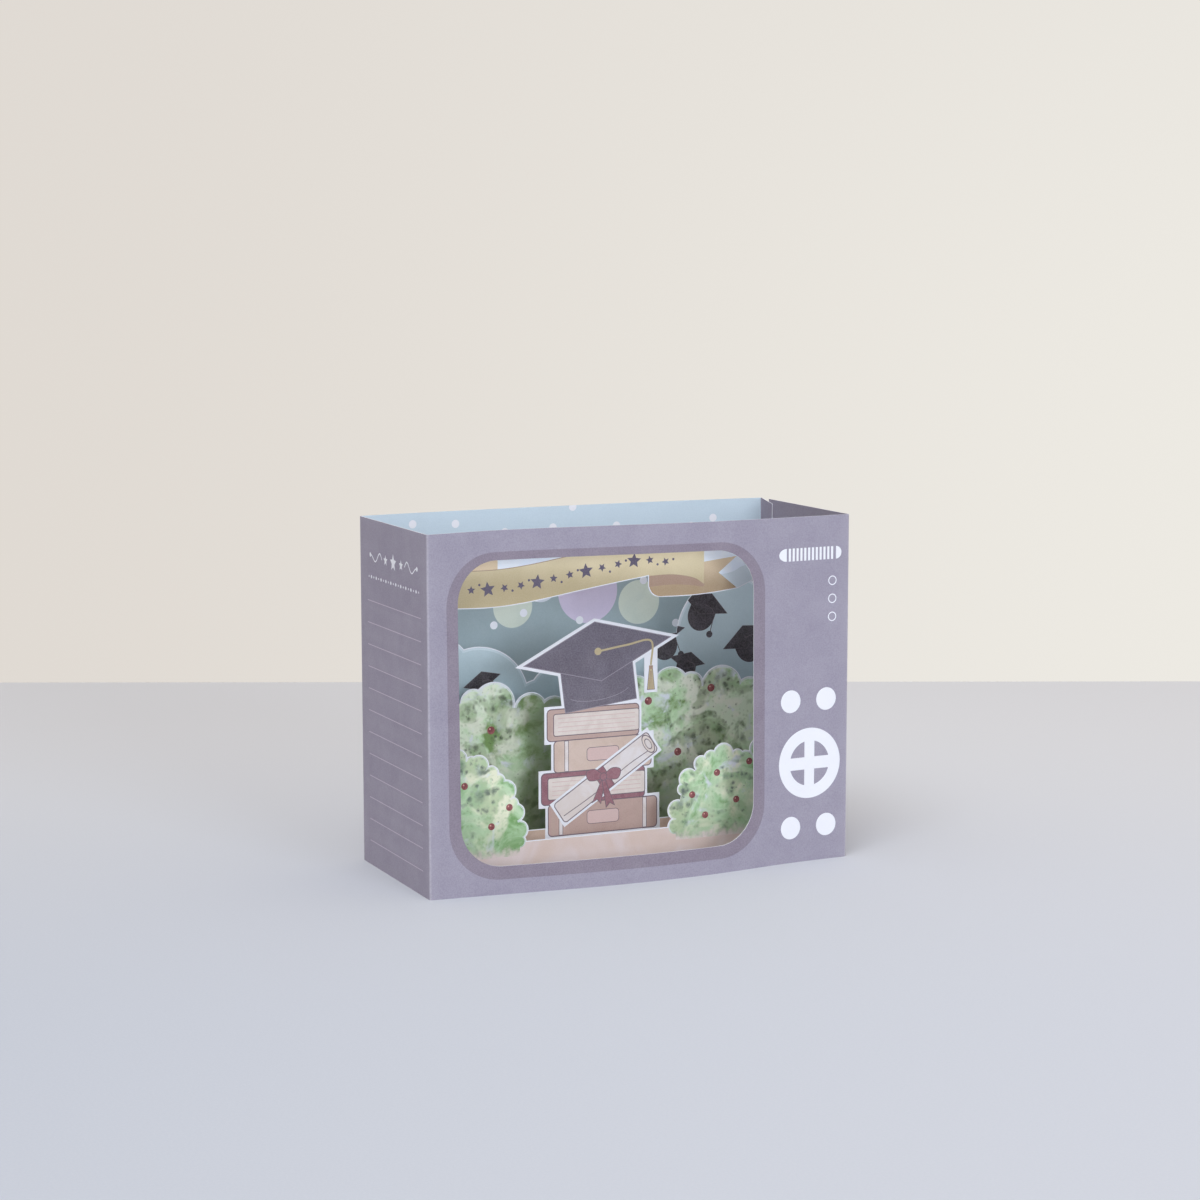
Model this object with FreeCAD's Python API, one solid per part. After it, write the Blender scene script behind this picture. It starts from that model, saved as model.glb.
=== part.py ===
import FreeCAD, Part
import math
import os

from FreeCAD import Vector

# A free-standing greeting card shaped like a small old television.
# One sheet is folded into a sleeve, open at the top and bottom, with a window in its front.
# Four die-cut sheets stand one behind the other inside it, glued to the side panels by folded tabs.
# X runs along the front, Y from front to back, Z up. The card stands on its bottom edges at Z = 0.

# Sleeve
width = 155.0
height = 120.0
depth = 65.0
card = 0.35
fold_radius = 0.8

# Belly of the panels: the front pushes out at the bottom, and waves in and out along its top edge
front_bow = 6.0
front_wave = 3.5
back_bow = 3.0
bow_stations = (0.0, 0.16, 0.32, 0.50, 0.68, 0.84, 1.0)
bottom_share = (0.0, 0.38, 0.79, 1.0, 0.79, 0.25, 0.0)
wave_share = (0.0, -0.97, -0.74, 0.06, 0.57, 0.34, 0.0)
back_share = (0.0, 0.62, 0.92, 1.0, 0.92, 0.62, 0.0)

# Closing seam: the glue flap runs forward from the back fold, inside the right panel
right_panel_stop = 5.9
flap_depth = 9.0
flap_bevel = 1.5

# Window in the front panel
window_left_margin = 11.0
window_right_margin = 37.9
window_bottom_margin = 9.4
window_top_margin = 9.8
window_corner_radius = 14.0

# Inner sheets and their glue tabs
sheet = 0.30
sheet_fold_radius = 0.7
sheet_lift = 0.5
tab_depth = 7.0
tab_bevel = 2.0
layer_count = 4
lobe_variation = 0.26
lobe_stagger = 0.16

# Foreground sheet: posts, ground, bushes and a ribbon across the top
foreground_top_drop = 2.5
left_post = 11.0
right_post = 22.0
foreground_ground = 13.5
ribbon_drop_left = 26.4
ribbon_drop_fold = 19.2
ribbon_fold_from_right = 70.0
ribbon_tail_from_right = 36.2
ribbon_fold_depth = 7.4
ribbon_tail_rise = 1.4
ribbon_corner = 4.5
sky_drop = 17.0
bush_lobe = 3.1
left_bush_reach = 29.0
left_bush_height = 33.0
left_bush_lobes = 10
right_bush_from_right = 41.0
right_bush_reach = 21.5
right_bush_height = 27.0
right_bush_lobes = 12
side_bush_reach = 12.0
side_bush_height = 34.0
side_bush_lobes = 7

# Figure sheet: a stack of books under a graduate's cap, with a scroll across them
figure_ground = 14.0
figure_from_left = 71.5
cut_border = 1.0
book_base = 11.0
book_length = 41.0
book_thickness = 11.0
book_count = 4
book_stagger = 1.8
book_taper = 2.2
cap_band_width = 27.0
cap_band_height = 13.0
cap_board_width = 56.0
cap_board_height = 21.0
cap_overlap = 4.5
cap_tilt = 7.0
tassel_reach = 20.0
tassel_width = 3.0
tassel_length = 17.0
scroll_length = 42.0
scroll_diameter = 8.0
scroll_tilt = 33.0
scroll_shift = 3.0
scroll_height = 30.0

# Hedge sheet
hedge_height = 54.5
hedge_swell = 3.0
hedge_lobe = 6.6
hedge_lobes = 14
hedge_end_height = 50.0

# Cloud sheet: high at both sides and low in the middle
cloud_valley = 49.0
cloud_side_rise = 19.0
cloud_slope = 5.0
cloud_lobe = 16.5
cloud_lobes = 7
cloud_end_height = 62.0

# Places that follow from the sizes
half_width = width / 2
box_depth = front_bow + depth + back_bow
front_face = front_bow - box_depth / 2
back_face = front_face + depth
right_panel_end = back_face - right_panel_stop
inner_left = card - half_width
inner_right = half_width - card
layer_pitch = depth / (layer_count + 1)
stock_height = height - foreground_top_drop


def bowed_line(start_x, end_x, base_y, shares, size, z):
    """Curve along X whose distance from base_y is a share of size at each station."""
    points = []
    for station, share in zip(bow_stations, shares):
        x = start_x + station * (end_x - start_x)
        points.append(Vector(x, base_y + share * size, z))
    curve = Part.BSplineCurve()
    curve.interpolate(points)
    return curve.toShape()


def corner(centre_x, centre_y, radius, from_angle, to_angle, z):
    """Quarter turn of a fold about a vertical line, angles in degrees."""
    ends = []
    for angle in (from_angle, (from_angle + to_angle) / 2, to_angle):
        turn = math.radians(angle)
        ends.append(Vector(centre_x + radius * math.cos(turn), centre_y + radius * math.sin(turn), z))
    return Part.Arc(*ends).toShape()


def straight(x1, y1, x2, y2, z):
    return Part.makeLine(Vector(x1, y1, z), Vector(x2, y2, z))


def sleeve_section(z, front_shares, front_size):
    """Closed outline of the bent strip of card at height z, from the right panel's end to the back fold."""
    r = fold_radius
    r_in = fold_radius - card
    fold_x = half_width - r
    fold_front = front_face + r
    fold_back = back_face - r
    seam = inner_right
    seam_x = seam - r
    edges = [
        straight(half_width, right_panel_end, half_width, fold_front, z),
        corner(fold_x, fold_front, r, 0, -90, z),
        bowed_line(fold_x, -fold_x, front_face, front_shares[::-1], -front_size, z),
        corner(-fold_x, fold_front, r, -90, -180, z),
        straight(-half_width, fold_front, -half_width, fold_back, z),
        corner(-fold_x, fold_back, r, 180, 90, z),
        bowed_line(-fold_x, seam_x, back_face, back_share, back_bow, z),
        corner(seam_x, fold_back, r, 90, 0, z),
        straight(seam, fold_back, seam - card, fold_back, z),
        corner(seam_x, fold_back, r_in, 0, 90, z),
        bowed_line(seam_x, -fold_x, back_face - card, back_share[::-1], back_bow, z),
        corner(-fold_x, fold_back, r_in, 90, 180, z),
        straight(inner_left, fold_back, inner_left, fold_front, z),
        corner(-fold_x, fold_front, r_in, 180, 270, z),
        bowed_line(-fold_x, fold_x, front_face + card, front_shares, -front_size, z),
        corner(fold_x, fold_front, r_in, -90, 0, z),
        straight(inner_right, fold_front, inner_right, right_panel_end, z),
        straight(inner_right, right_panel_end, half_width, right_panel_end, z),
    ]
    return Part.Wire(edges)


def prism_across(points, x_from, x_to):
    """Solid between two X values from an outline of (y, z) points."""
    outline = [Vector(x_from, y, z) for y, z in points]
    outline.append(outline[0])
    return Part.Face(Part.makePolygon(outline)).extrude(Vector(x_to - x_from, 0, 0))


def glue_flap():
    """Flap inside the right panel, with both ends bevelled."""
    fold = back_face - fold_radius
    tip = back_face - flap_depth
    outline = [(fold, 0.0), (fold, height), (tip, height - flap_bevel), (tip, flap_bevel)]
    return prism_across(outline, inner_right - card, inner_right)


def rounded_rectangle(x1, z1, x2, z2, radius, y):
    """Wire in the plane of the front panel with four round corners."""
    edges = []
    centres = ((x2 - radius, z2 - radius, 0), (x1 + radius, z2 - radius, 90),
               (x1 + radius, z1 + radius, 180), (x2 - radius, z1 + radius, 270))
    ends = []
    for cx, cz, angle in centres:
        turns = [math.radians(angle + step) for step in (0, 45, 90)]
        spots = [Vector(cx + radius * math.cos(t), y, cz + radius * math.sin(t)) for t in turns]
        ends.append(spots)
    for index, spots in enumerate(ends):
        edges.append(Part.Arc(*spots).toShape())
        edges.append(Part.makeLine(spots[2], ends[(index + 1) % 4][0]))
    return Part.Wire(edges)


def make_sleeve():
    bottom = sleeve_section(0.0, bottom_share, front_bow)
    top = sleeve_section(height, wave_share, front_wave)
    strip = Part.makeLoft([bottom, top], True, True)
    before_window = front_face - front_bow - card
    behind_window = front_face + front_wave + fold_radius + card
    opening = rounded_rectangle(
        window_left_margin - half_width, window_bottom_margin,
        half_width - window_right_margin, height - window_top_margin,
        window_corner_radius, before_window)
    window = Part.Face(opening).extrude(Vector(0, behind_window - before_window, 0))
    return strip.fuse(glue_flap()).cut(window).removeSplitter()


class Stock:
    """A flat sheet with its two tabs already folded forward, and the shapes that the die leaves of it."""

    def __init__(self, index):
        self.face = front_face + index * layer_pitch
        self.back = self.face + sheet
        self.tab_end = self.face - tab_depth
        self.shapes = []

    def keep(self, wire):
        """Keep what lies inside a wire drawn at the tab's end."""
        prism = Part.Face(wire).extrude(Vector(0, self.back - self.tab_end, 0))
        self.shapes.append(prism)

    def keep_polygon(self, points):
        outline = [Vector(x, self.tab_end, z) for x, z in points]
        outline.append(outline[0])
        self.keep(Part.makePolygon(outline))

    def keep_rectangle(self, x1, z1, x2, z2):
        self.keep_polygon([(x1, z1), (x2, z1), (x2, z2), (x1, z2)])

    def keep_turned_rectangle(self, cx, cz, length, thickness, degrees):
        turn = math.radians(degrees)
        along = (math.cos(turn) * length / 2, math.sin(turn) * length / 2)
        across = (-math.sin(turn) * thickness / 2, math.cos(turn) * thickness / 2)
        signs = ((-1, -1), (1, -1), (1, 1), (-1, 1))
        corners = [(cx + a * along[0] + b * across[0], cz + a * along[1] + b * across[1]) for a, b in signs]
        self.keep_polygon(corners)

    def keep_disc(self, cx, cz, radius):
        circle = Part.Circle(Vector(cx, self.tab_end, cz), Vector(0, 1, 0), radius)
        self.keep(Part.Wire([circle.toShape()]))

    def folded(self):
        """The sheet between the side panels, bent forward at both ends."""
        r = sheet_fold_radius
        r_in = r - sheet
        left = inner_left + r
        right = inner_right - r
        fold = self.back - r
        low = sheet_lift
        edges = [
            straight(inner_left, self.tab_end, inner_left, fold, low),
            corner(left, fold, r, 180, 90, low),
            straight(left, self.back, right, self.back, low),
            corner(right, fold, r, 90, 0, low),
            straight(inner_right, fold, inner_right, self.tab_end, low),
            straight(inner_right, self.tab_end, inner_right - sheet, self.tab_end, low),
            straight(inner_right - sheet, self.tab_end, inner_right - sheet, fold, low),
            corner(right, fold, r_in, 0, 90, low),
            straight(right, self.face, left, self.face, low),
            corner(left, fold, r_in, 90, 180, low),
            straight(inner_left + sheet, fold, inner_left + sheet, self.tab_end, low),
            straight(inner_left + sheet, self.tab_end, inner_left, self.tab_end, low),
        ]
        profile = Part.Face(Part.Wire(edges))
        return profile.extrude(Vector(0, 0, stock_height - sheet_lift))

    def die_cut(self, left_height, right_height):
        """The kept shapes of the folded sheet, with the free corners of both tabs clipped."""
        region = self.shapes[0].multiFuse(self.shapes[1:])
        piece = self.folded().common(region)
        clips = []
        for x_from, x_to, top in ((inner_left, inner_left + sheet, left_height),
                                  (inner_right - sheet, inner_right, right_height)):
            for edge, inward in ((sheet_lift, 1), (top, -1)):
                outline = [(self.tab_end, edge), (self.tab_end + tab_bevel, edge),
                           (self.tab_end, edge + inward * tab_bevel)]
                clips.append(prism_across(outline, x_from, x_to))
        return piece.cut(clips).removeSplitter()


def varied(number):
    """A factor around 1 that differs from one lobe to the next, by lobe_variation at most."""
    return 1.0 + lobe_variation * math.sin(2.4 * number)


def staggered(number, count):
    """Share of a row at which lobe number stands: even steps, moved by lobe_stagger of a step at most."""
    if number in (0, count - 1):
        return number / (count - 1)
    return (number + lobe_stagger * math.sin(3.7 * number)) / (count - 1)


def bush(stock, centre_x, reach, rise, start, end, lobes):
    """Part of an oval hump on the ground line between two angles, with round lobes along its edge."""
    core = [(centre_x, foreground_ground)]
    for lobe in range(lobes + 1):
        turn = math.radians(start + (end - start) * staggered(lobe, lobes + 1))
        x = centre_x + (reach - bush_lobe) * math.cos(turn)
        z = foreground_ground + (rise - bush_lobe) * math.sin(turn)
        core.append((x, z))
        stock.keep_disc(x, z, bush_lobe * varied(lobe))
    stock.keep_polygon(core)


def ribbon_outline(y, post_left, post_right):
    """Top of the foreground sheet: its lower edge follows the ribbon, the ribbon's fold and the sky."""
    fold_x = inner_right - ribbon_fold_from_right
    tail_x = inner_right - ribbon_tail_from_right
    low_left = height - ribbon_drop_left
    low_fold = height - ribbon_drop_fold
    low_corner = low_fold - ribbon_fold_depth
    low_tail = low_corner + ribbon_tail_rise
    low_sky = height - sky_drop
    rise = low_fold - low_left
    span = fold_x - post_left
    turn = ribbon_corner * (1 - math.sqrt(0.5))
    start = Vector(post_left, y, low_left)
    fold_top = Vector(fold_x, y, low_fold)
    fold_side = Vector(fold_x, y, low_corner + ribbon_corner)
    fold_turn = Vector(fold_x + turn, y, low_corner + turn)
    fold_end = Vector(fold_x + ribbon_corner, y, low_corner)
    under = Vector((fold_x + ribbon_corner + tail_x) / 2, y, low_corner)
    tail = Vector(tail_x, y, low_tail)
    hollow = Vector((tail_x + post_right) / 2, y, low_tail + 0.4 * (low_sky - low_tail))
    sky = Vector(post_right, y, low_sky)
    top_right = Vector(post_right, y, stock_height)
    top_left = Vector(post_left, y, stock_height)
    wave = Part.BSplineCurve()
    wave.interpolate([
        start,
        Vector(post_left + 0.25 * span, y, low_left - 0.05 * rise),
        Vector(post_left + 0.60 * span, y, low_left + 0.40 * rise),
        fold_top,
    ])
    return Part.Wire([
        wave.toShape(),
        Part.makeLine(fold_top, fold_side),
        Part.Arc(fold_side, fold_turn, fold_end).toShape(),
        Part.Arc(fold_end, under, tail).toShape(),
        Part.Arc(tail, hollow, sky).toShape(),
        Part.makeLine(sky, top_right),
        Part.makeLine(top_right, top_left),
        Part.makeLine(top_left, start),
    ])


def make_foreground():
    """Posts and ground with bushes at both sides, and the ribbon with the sky behind it at the top."""
    stock = Stock(1)
    post_left = inner_left + left_post
    post_right = inner_right - right_post
    stock.keep_rectangle(inner_left, sheet_lift, post_left, stock_height)
    stock.keep_rectangle(post_right, sheet_lift, inner_right, stock_height)
    stock.keep_rectangle(inner_left, sheet_lift, inner_right, foreground_ground)
    stock.keep(ribbon_outline(stock.tab_end, post_left, post_right))
    bush(stock, post_left, left_bush_reach, left_bush_height, 90, 0, left_bush_lobes)
    bush(stock, inner_right - right_bush_from_right, right_bush_reach, right_bush_height, 180, 0,
         right_bush_lobes)
    bush(stock, post_right, side_bush_reach, side_bush_height, 90, 180, side_bush_lobes)
    return stock.die_cut(stock_height, stock_height)


def make_figure():
    """The strip of ground with the books, the cap and the scroll standing on it as one cut-out."""
    stock = Stock(2)
    centre = inner_left + figure_from_left
    stock.keep_rectangle(inner_left, sheet_lift, inner_right, figure_ground)
    for book in range(book_count):
        shift = book_stagger * math.cos(math.pi * book)
        half = (book_length - book_taper * book) / 2 + cut_border
        low = book_base + book_thickness * book
        stock.keep_rectangle(centre + shift - half, low - cut_border,
                             centre + shift + half, low + book_thickness + cut_border)
    stack_top = book_base + book_thickness * book_count
    half_board = cap_board_height / 2
    board_z = stack_top + cap_band_height - cap_overlap + half_board
    tilt = math.radians(cap_tilt)
    stock.keep_turned_rectangle(centre, (stack_top + board_z) / 2, cap_band_width + 2 * cut_border,
                                board_z - stack_top + 2 * cut_border, cap_tilt)
    side = math.hypot(cap_board_width / 2, half_board)
    long_reach = cap_board_width / 2 + cut_border * side / half_board
    short_reach = half_board + cut_border * side / (cap_board_width / 2)
    board = []
    for along, up in ((long_reach, 0), (0, short_reach), (-long_reach, 0), (0, -short_reach)):
        board.append((centre + along * math.cos(tilt) - up * math.sin(tilt),
                      board_z + along * math.sin(tilt) + up * math.cos(tilt)))
    stock.keep_polygon(board)
    hang = board_z + tassel_reach * math.sin(tilt)
    half_tassel = tassel_width / 2 + cut_border
    stock.keep_rectangle(centre + tassel_reach - half_tassel, hang - tassel_length - cut_border,
                         centre + tassel_reach + half_tassel, hang)
    stock.keep_turned_rectangle(centre + scroll_shift, scroll_height, scroll_length + 2 * cut_border,
                                scroll_diameter + 2 * cut_border, scroll_tilt)
    return stock.die_cut(figure_ground, figure_ground)


def make_hedge():
    """A hedge across the whole width, its top a row of lobes that swells and dips."""
    stock = Stock(3)
    first = inner_left + 1.2 * hedge_lobe
    last = inner_right - 1.2 * hedge_lobe
    core = [(first, sheet_lift)]
    for lobe in range(hedge_lobes):
        share = staggered(lobe, hedge_lobes)
        x = first + share * (last - first)
        z = hedge_height + hedge_swell * math.sin(2 * math.pi * (1.6 * share + 0.08))
        core.append((x, z))
        stock.keep_disc(x, z, hedge_lobe * varied(lobe))
    core.append((last, sheet_lift))
    stock.keep_polygon(core)
    stock.keep_rectangle(inner_left, sheet_lift, inner_right, hedge_end_height)
    return stock.die_cut(hedge_end_height, hedge_end_height)


def make_clouds():
    """Large round clouds, high at both sides and low in the middle."""
    stock = Stock(4)
    first = inner_left + 1.2 * cloud_lobe
    last = inner_right - 1.2 * cloud_lobe
    core = [(first, sheet_lift)]
    for lobe in range(cloud_lobes):
        share = staggered(lobe, cloud_lobes)
        side = 2 * share - 1
        x = first + share * (last - first)
        z = cloud_valley + cloud_side_rise * side ** 2 + cloud_slope * side
        core.append((x, z))
        stock.keep_disc(x, z, cloud_lobe * varied(lobe))
    core.append((last, sheet_lift))
    stock.keep_polygon(core)
    stock.keep_rectangle(inner_left, sheet_lift, first, cloud_end_height)
    stock.keep_rectangle(last, sheet_lift, inner_right, cloud_end_height)
    return stock.die_cut(cloud_end_height, cloud_end_height)


def main():
    pieces = {
        "folded_sleeve": make_sleeve(),
        "foreground_sheet": make_foreground(),
        "figure_sheet": make_figure(),
        "hedge_sheet": make_hedge(),
        "cloud_sheet": make_clouds(),
    }
    os.makedirs("parts", exist_ok=True)
    for name, shape in pieces.items():
        solids = len(shape.Solids)
        print(f"{name}: {solids} solid, {shape.Volume:.0f} mm3, valid {shape.isValid()}")
        shape.exportStep(f"parts/{name}.step")


if __name__ == "__main__":
    main()
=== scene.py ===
"""Looks of a free-standing greeting card shaped like a small old television.

A folded card sleeve with a window in its front holds four printed, die-cut sheets that stand one
behind another. Each sheet is drawn flat, in millimetres, as outlines painted one over another. The
drawing is cut into triangles, folded to its place and given the thickness of its card.
"""
from __future__ import annotations

import itertools
import logging
import math
from dataclasses import dataclass, field, replace
from enum import Enum, auto
from typing import Iterable, Sequence

import bpy
import numpy as np
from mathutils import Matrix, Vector
from mathutils.geometry import delaunay_2d_cdt

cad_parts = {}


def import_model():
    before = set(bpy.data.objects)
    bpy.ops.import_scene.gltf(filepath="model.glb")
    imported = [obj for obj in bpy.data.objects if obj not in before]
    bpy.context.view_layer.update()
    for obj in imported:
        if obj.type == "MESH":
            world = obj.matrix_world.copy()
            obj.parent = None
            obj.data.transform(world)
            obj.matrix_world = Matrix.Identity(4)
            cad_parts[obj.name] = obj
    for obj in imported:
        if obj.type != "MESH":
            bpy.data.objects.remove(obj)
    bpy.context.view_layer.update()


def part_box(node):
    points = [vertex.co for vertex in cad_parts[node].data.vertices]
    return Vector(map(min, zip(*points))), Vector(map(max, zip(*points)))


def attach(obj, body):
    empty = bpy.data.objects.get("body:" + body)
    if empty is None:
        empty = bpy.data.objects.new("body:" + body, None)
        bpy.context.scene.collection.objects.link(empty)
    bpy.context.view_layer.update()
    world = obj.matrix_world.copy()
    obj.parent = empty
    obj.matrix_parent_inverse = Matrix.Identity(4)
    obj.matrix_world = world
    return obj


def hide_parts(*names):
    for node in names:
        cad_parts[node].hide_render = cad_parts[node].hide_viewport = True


MM = 0.001
BODY = "root"
SHARP_DEGREES = 35.0
BLEED = 1.0
GUIDE_OVER = 2.0
Points = np.ndarray
Colour = tuple[float, float, float]
Pair = tuple[float, float]
Pairs = tuple[Pair, ...]
log = logging.getLogger("card")


# Inks


class Ink(Enum):
    """What a face of a sheet shows: bare card, or one of the printed colours."""

    BARE = auto()
    PURPLE = auto()
    BAND = auto()
    WHITE = auto()
    RULE = auto()
    INSIDE = auto()
    SKY = auto()
    LILAC = auto()
    MINT = auto()
    PEARL = auto()
    CLOUD = auto()
    CLOUD_WHITE = auto()
    SMALL_CAP = auto()
    SMALL_CAP_EDGE = auto()
    CLOUD_RIM = auto()
    HEDGE = auto()
    HEDGE_RIM = auto()
    BUSH = auto()
    BUSH_RIM = auto()
    BERRY = auto()
    BERRY_SHINE = auto()
    GROUND = auto()
    GROUND_BACK = auto()
    RIBBON = auto()
    RIBBON_TAIL = auto()
    RIBBON_SHADE = auto()
    STAR = auto()
    CAP = auto()
    CAP_LINE = auto()
    BROWN = auto()
    TAN = auto()
    CREAM = auto()
    PAGES = auto()
    WINE = auto()
    BLUSH = auto()
    LINE = auto()


# Flat outlines


def arc(cx: float, cz: float, rx: float, rz: float, start: float, end: float, count: int) -> Points:
    """Points of an elliptic arc: centre plus radii times cosine and sine of evenly spaced angles.

    Args:
        cx, cz: centre.
        rx, rz: radii across and up.
        start, end: angles in degrees.
        count: number of points, both ends included.

    Returns:
        Array of (x, z) rows.
    """
    turn = np.radians(np.linspace(start, end, count))
    return np.stack([cx + rx * np.cos(turn), cz + rz * np.sin(turn)], axis=1)


def disc(cx: float, cz: float, radius: float, count: int = 40) -> Points:
    """Closed circle."""
    return arc(cx, cz, radius, radius, 0, 360, count + 1)[:-1]


def box(x1: float, z1: float, x2: float, z2: float) -> Points:
    """Closed rectangle between two corners."""
    return np.array([(x1, z1), (x2, z1), (x2, z2), (x1, z2)], float)


def rounded_box(x1: float, z1: float, x2: float, z2: float, radius: float, count: int = 12) -> Points:
    """Closed rectangle whose corners are quarter circles.

    Args:
        x1, z1, x2, z2: two opposite corners.
        radius: of the quarter circles.
        count: number of points on each.

    Returns:
        Array of (x, z) rows.
    """
    left, right, low, high = x1 + radius, x2 - radius, z1 + radius, z2 - radius
    centres = ((right, high), (left, high), (left, low), (right, low))
    return np.concatenate([arc(x, z, radius, radius, 90 * k, 90 * k + 90, count)
                           for k, (x, z) in enumerate(centres)])


def turned(points: Points, cx: float, cz: float, degrees: float) -> Points:
    """The outline turned anticlockwise about a point.

    Args:
        points: the outline.
        cx, cz: the point.
        degrees: the angle.

    Returns:
        Outline with as many points.
    """
    turn = math.radians(degrees)
    matrix = np.array([[math.cos(turn), math.sin(turn)], [-math.sin(turn), math.cos(turn)]])
    centre = np.array([cx, cz])
    return (points - centre) @ matrix + centre


def star(cx: float, cz: float, radius: float, degrees: float = 0.0) -> Points:
    """Closed five-pointed star: points on a circle whose radius alternates between full and waist.

    Args:
        cx, cz: centre.
        radius: distance of the tips.
        degrees: angle of the first tip from upright.

    Returns:
        Array of (x, z) rows.
    """
    tips, waist = 5, 0.46
    turn = math.radians(90 + degrees) + np.arange(2 * tips) * math.pi / tips
    reach = np.where(np.arange(2 * tips) % 2 == 0, radius, radius * waist)
    return np.stack([cx + reach * np.cos(turn), cz + reach * np.sin(turn)], axis=1)


def cubic(stations: Sequence[float], values: Sequence[float], at: np.ndarray) -> np.ndarray:
    """Natural cubic spline: pieces of third degree whose slope and curvature agree where they meet.

    Args:
        stations: places where the value is known, rising.
        values: the known values.
        at: places where the value is wanted.

    Returns:
        The value at each wanted place.
    """
    x = np.asarray(stations, float)
    y = np.asarray(values, float)
    step = np.diff(x)
    slope = np.diff(y) / step
    system = np.eye(len(x))
    right = np.zeros(len(x))
    rows = np.arange(1, len(x) - 1)
    system[rows, rows - 1] = step[:-1]
    system[rows, rows] = 2 * (step[:-1] + step[1:])
    system[rows, rows + 1] = step[1:]
    right[rows] = 6 * np.diff(slope)
    bend = np.linalg.solve(system, right)
    at = np.clip(at, x[0], x[-1])
    k = np.clip(np.searchsorted(x, at) - 1, 0, len(step) - 1)
    left = at - x[k]
    back = x[k + 1] - at
    h = step[k]
    curve = (bend[k] * back ** 3 + bend[k + 1] * left ** 3) / (6 * h)
    return curve + (y[k] / h - bend[k] * h / 6) * back + (y[k + 1] / h - bend[k + 1] * h / 6) * left


def smooth(points: Sequence[Sequence[float]], count: int, closed: bool = False) -> Points:
    """Curve through the points: each stretch blends its four nearest points by Catmull-Rom cubic weights.

    Args:
        points: the points that the curve passes.
        count: steps on each stretch.
        closed: whether the curve returns to its start.

    Returns:
        Array of (x, z) rows.
    """
    p = np.asarray(points, float)
    if closed:
        p = np.concatenate([p[-1:], p, p[:2]])
    else:
        p = np.concatenate([2 * p[:1] - p[1:2], p, 2 * p[-1:] - p[-2:-1]])
    t = np.linspace(0, 1, count, endpoint=False)[None, :, None]
    a, b, c, d = (p[k:len(p) - 3 + k, None, :] for k in range(4))
    bend = 2 * a - 5 * b + 4 * c - d
    twist = 3 * b - a - 3 * c + d
    curve = (0.5 * (2 * b + (c - a) * t + bend * t ** 2 + twist * t ** 3)).reshape(-1, 2)
    return curve if closed else np.concatenate([curve, p[-2:-1]])


def grow(points: Points, distance: float) -> Points:
    """The closed outline moved outwards by a distance along the mean of its two sides' normals.

    Args:
        points: closed outline, in either sense.
        distance: how far its sides move, negative to shrink.

    Returns:
        Outline with as many points.
    """
    ahead = np.roll(points, -1, axis=0) - points
    area = np.sum(points[:, 0] * np.roll(points[:, 1], -1) - points[:, 1] * np.roll(points[:, 0], -1))
    normal = np.stack([ahead[:, 1], -ahead[:, 0]], axis=1)
    normal /= np.linalg.norm(normal, axis=1, keepdims=True)
    normal *= math.copysign(1.0, area)
    mean = normal + np.roll(normal, 1, axis=0)
    share = np.maximum(np.sum(mean * normal, axis=1, keepdims=True), 0.25)
    return points + distance * mean / share


def anticlockwise(points: Points) -> Points:
    """The outline with its inside on the left, judged by the sign of the area that its corners give.

    Args:
        points: closed outline, in either sense.

    Returns:
        The same points, in that order or backwards.
    """
    x, z = points.T
    area = np.sum(x * np.roll(z, -1) - z * np.roll(x, -1))
    return points if area > 0 else points[::-1]


def stroke(path: Points, width: float) -> Points:
    """Closed outline of a drawn line: the path moved to each side by half its width.

    Args:
        path: points along the line.
        width: how wide the line is.

    Returns:
        Outline that goes up one side and back down the other.
    """
    path = np.asarray(path, float)
    along = np.gradient(path, axis=0)
    along /= np.linalg.norm(along, axis=1, keepdims=True)
    side = np.stack([-along[:, 1], along[:, 0]], axis=1) * width / 2
    return np.concatenate([path + side, (path - side)[::-1]])


def varied(number: int) -> float:
    """A factor around 1 that differs from one lobe to the next, by a sine of the lobe's number."""
    change, rhythm = 0.26, 2.4
    return 1.0 + change * math.sin(rhythm * number)


def staggered(count: int) -> np.ndarray:
    """Shares of a row at which its lobes stand: even steps, each but the ends moved a little by a sine.

    Args:
        count: number of lobes.

    Returns:
        Shares from 0 to 1, rising.
    """
    shift, rhythm = 0.16, 3.7
    number = np.arange(count)
    moved = number + shift * np.sin(rhythm * number)
    moved[[0, -1]] = number[[0, -1]]
    return moved / (count - 1)


@dataclass
class Lobes:
    """A core with a row of round lobes along its edge."""

    core: Points
    middles: Points
    radius: float
    corners: int

    def discs(self, less: float = 0.0) -> list[Points]:
        """The lobes, each drawn smaller by a distance."""
        return [disc(x, z, self.radius * varied(number) - less, self.corners)
                for number, (x, z) in enumerate(self.middles)]


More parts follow.
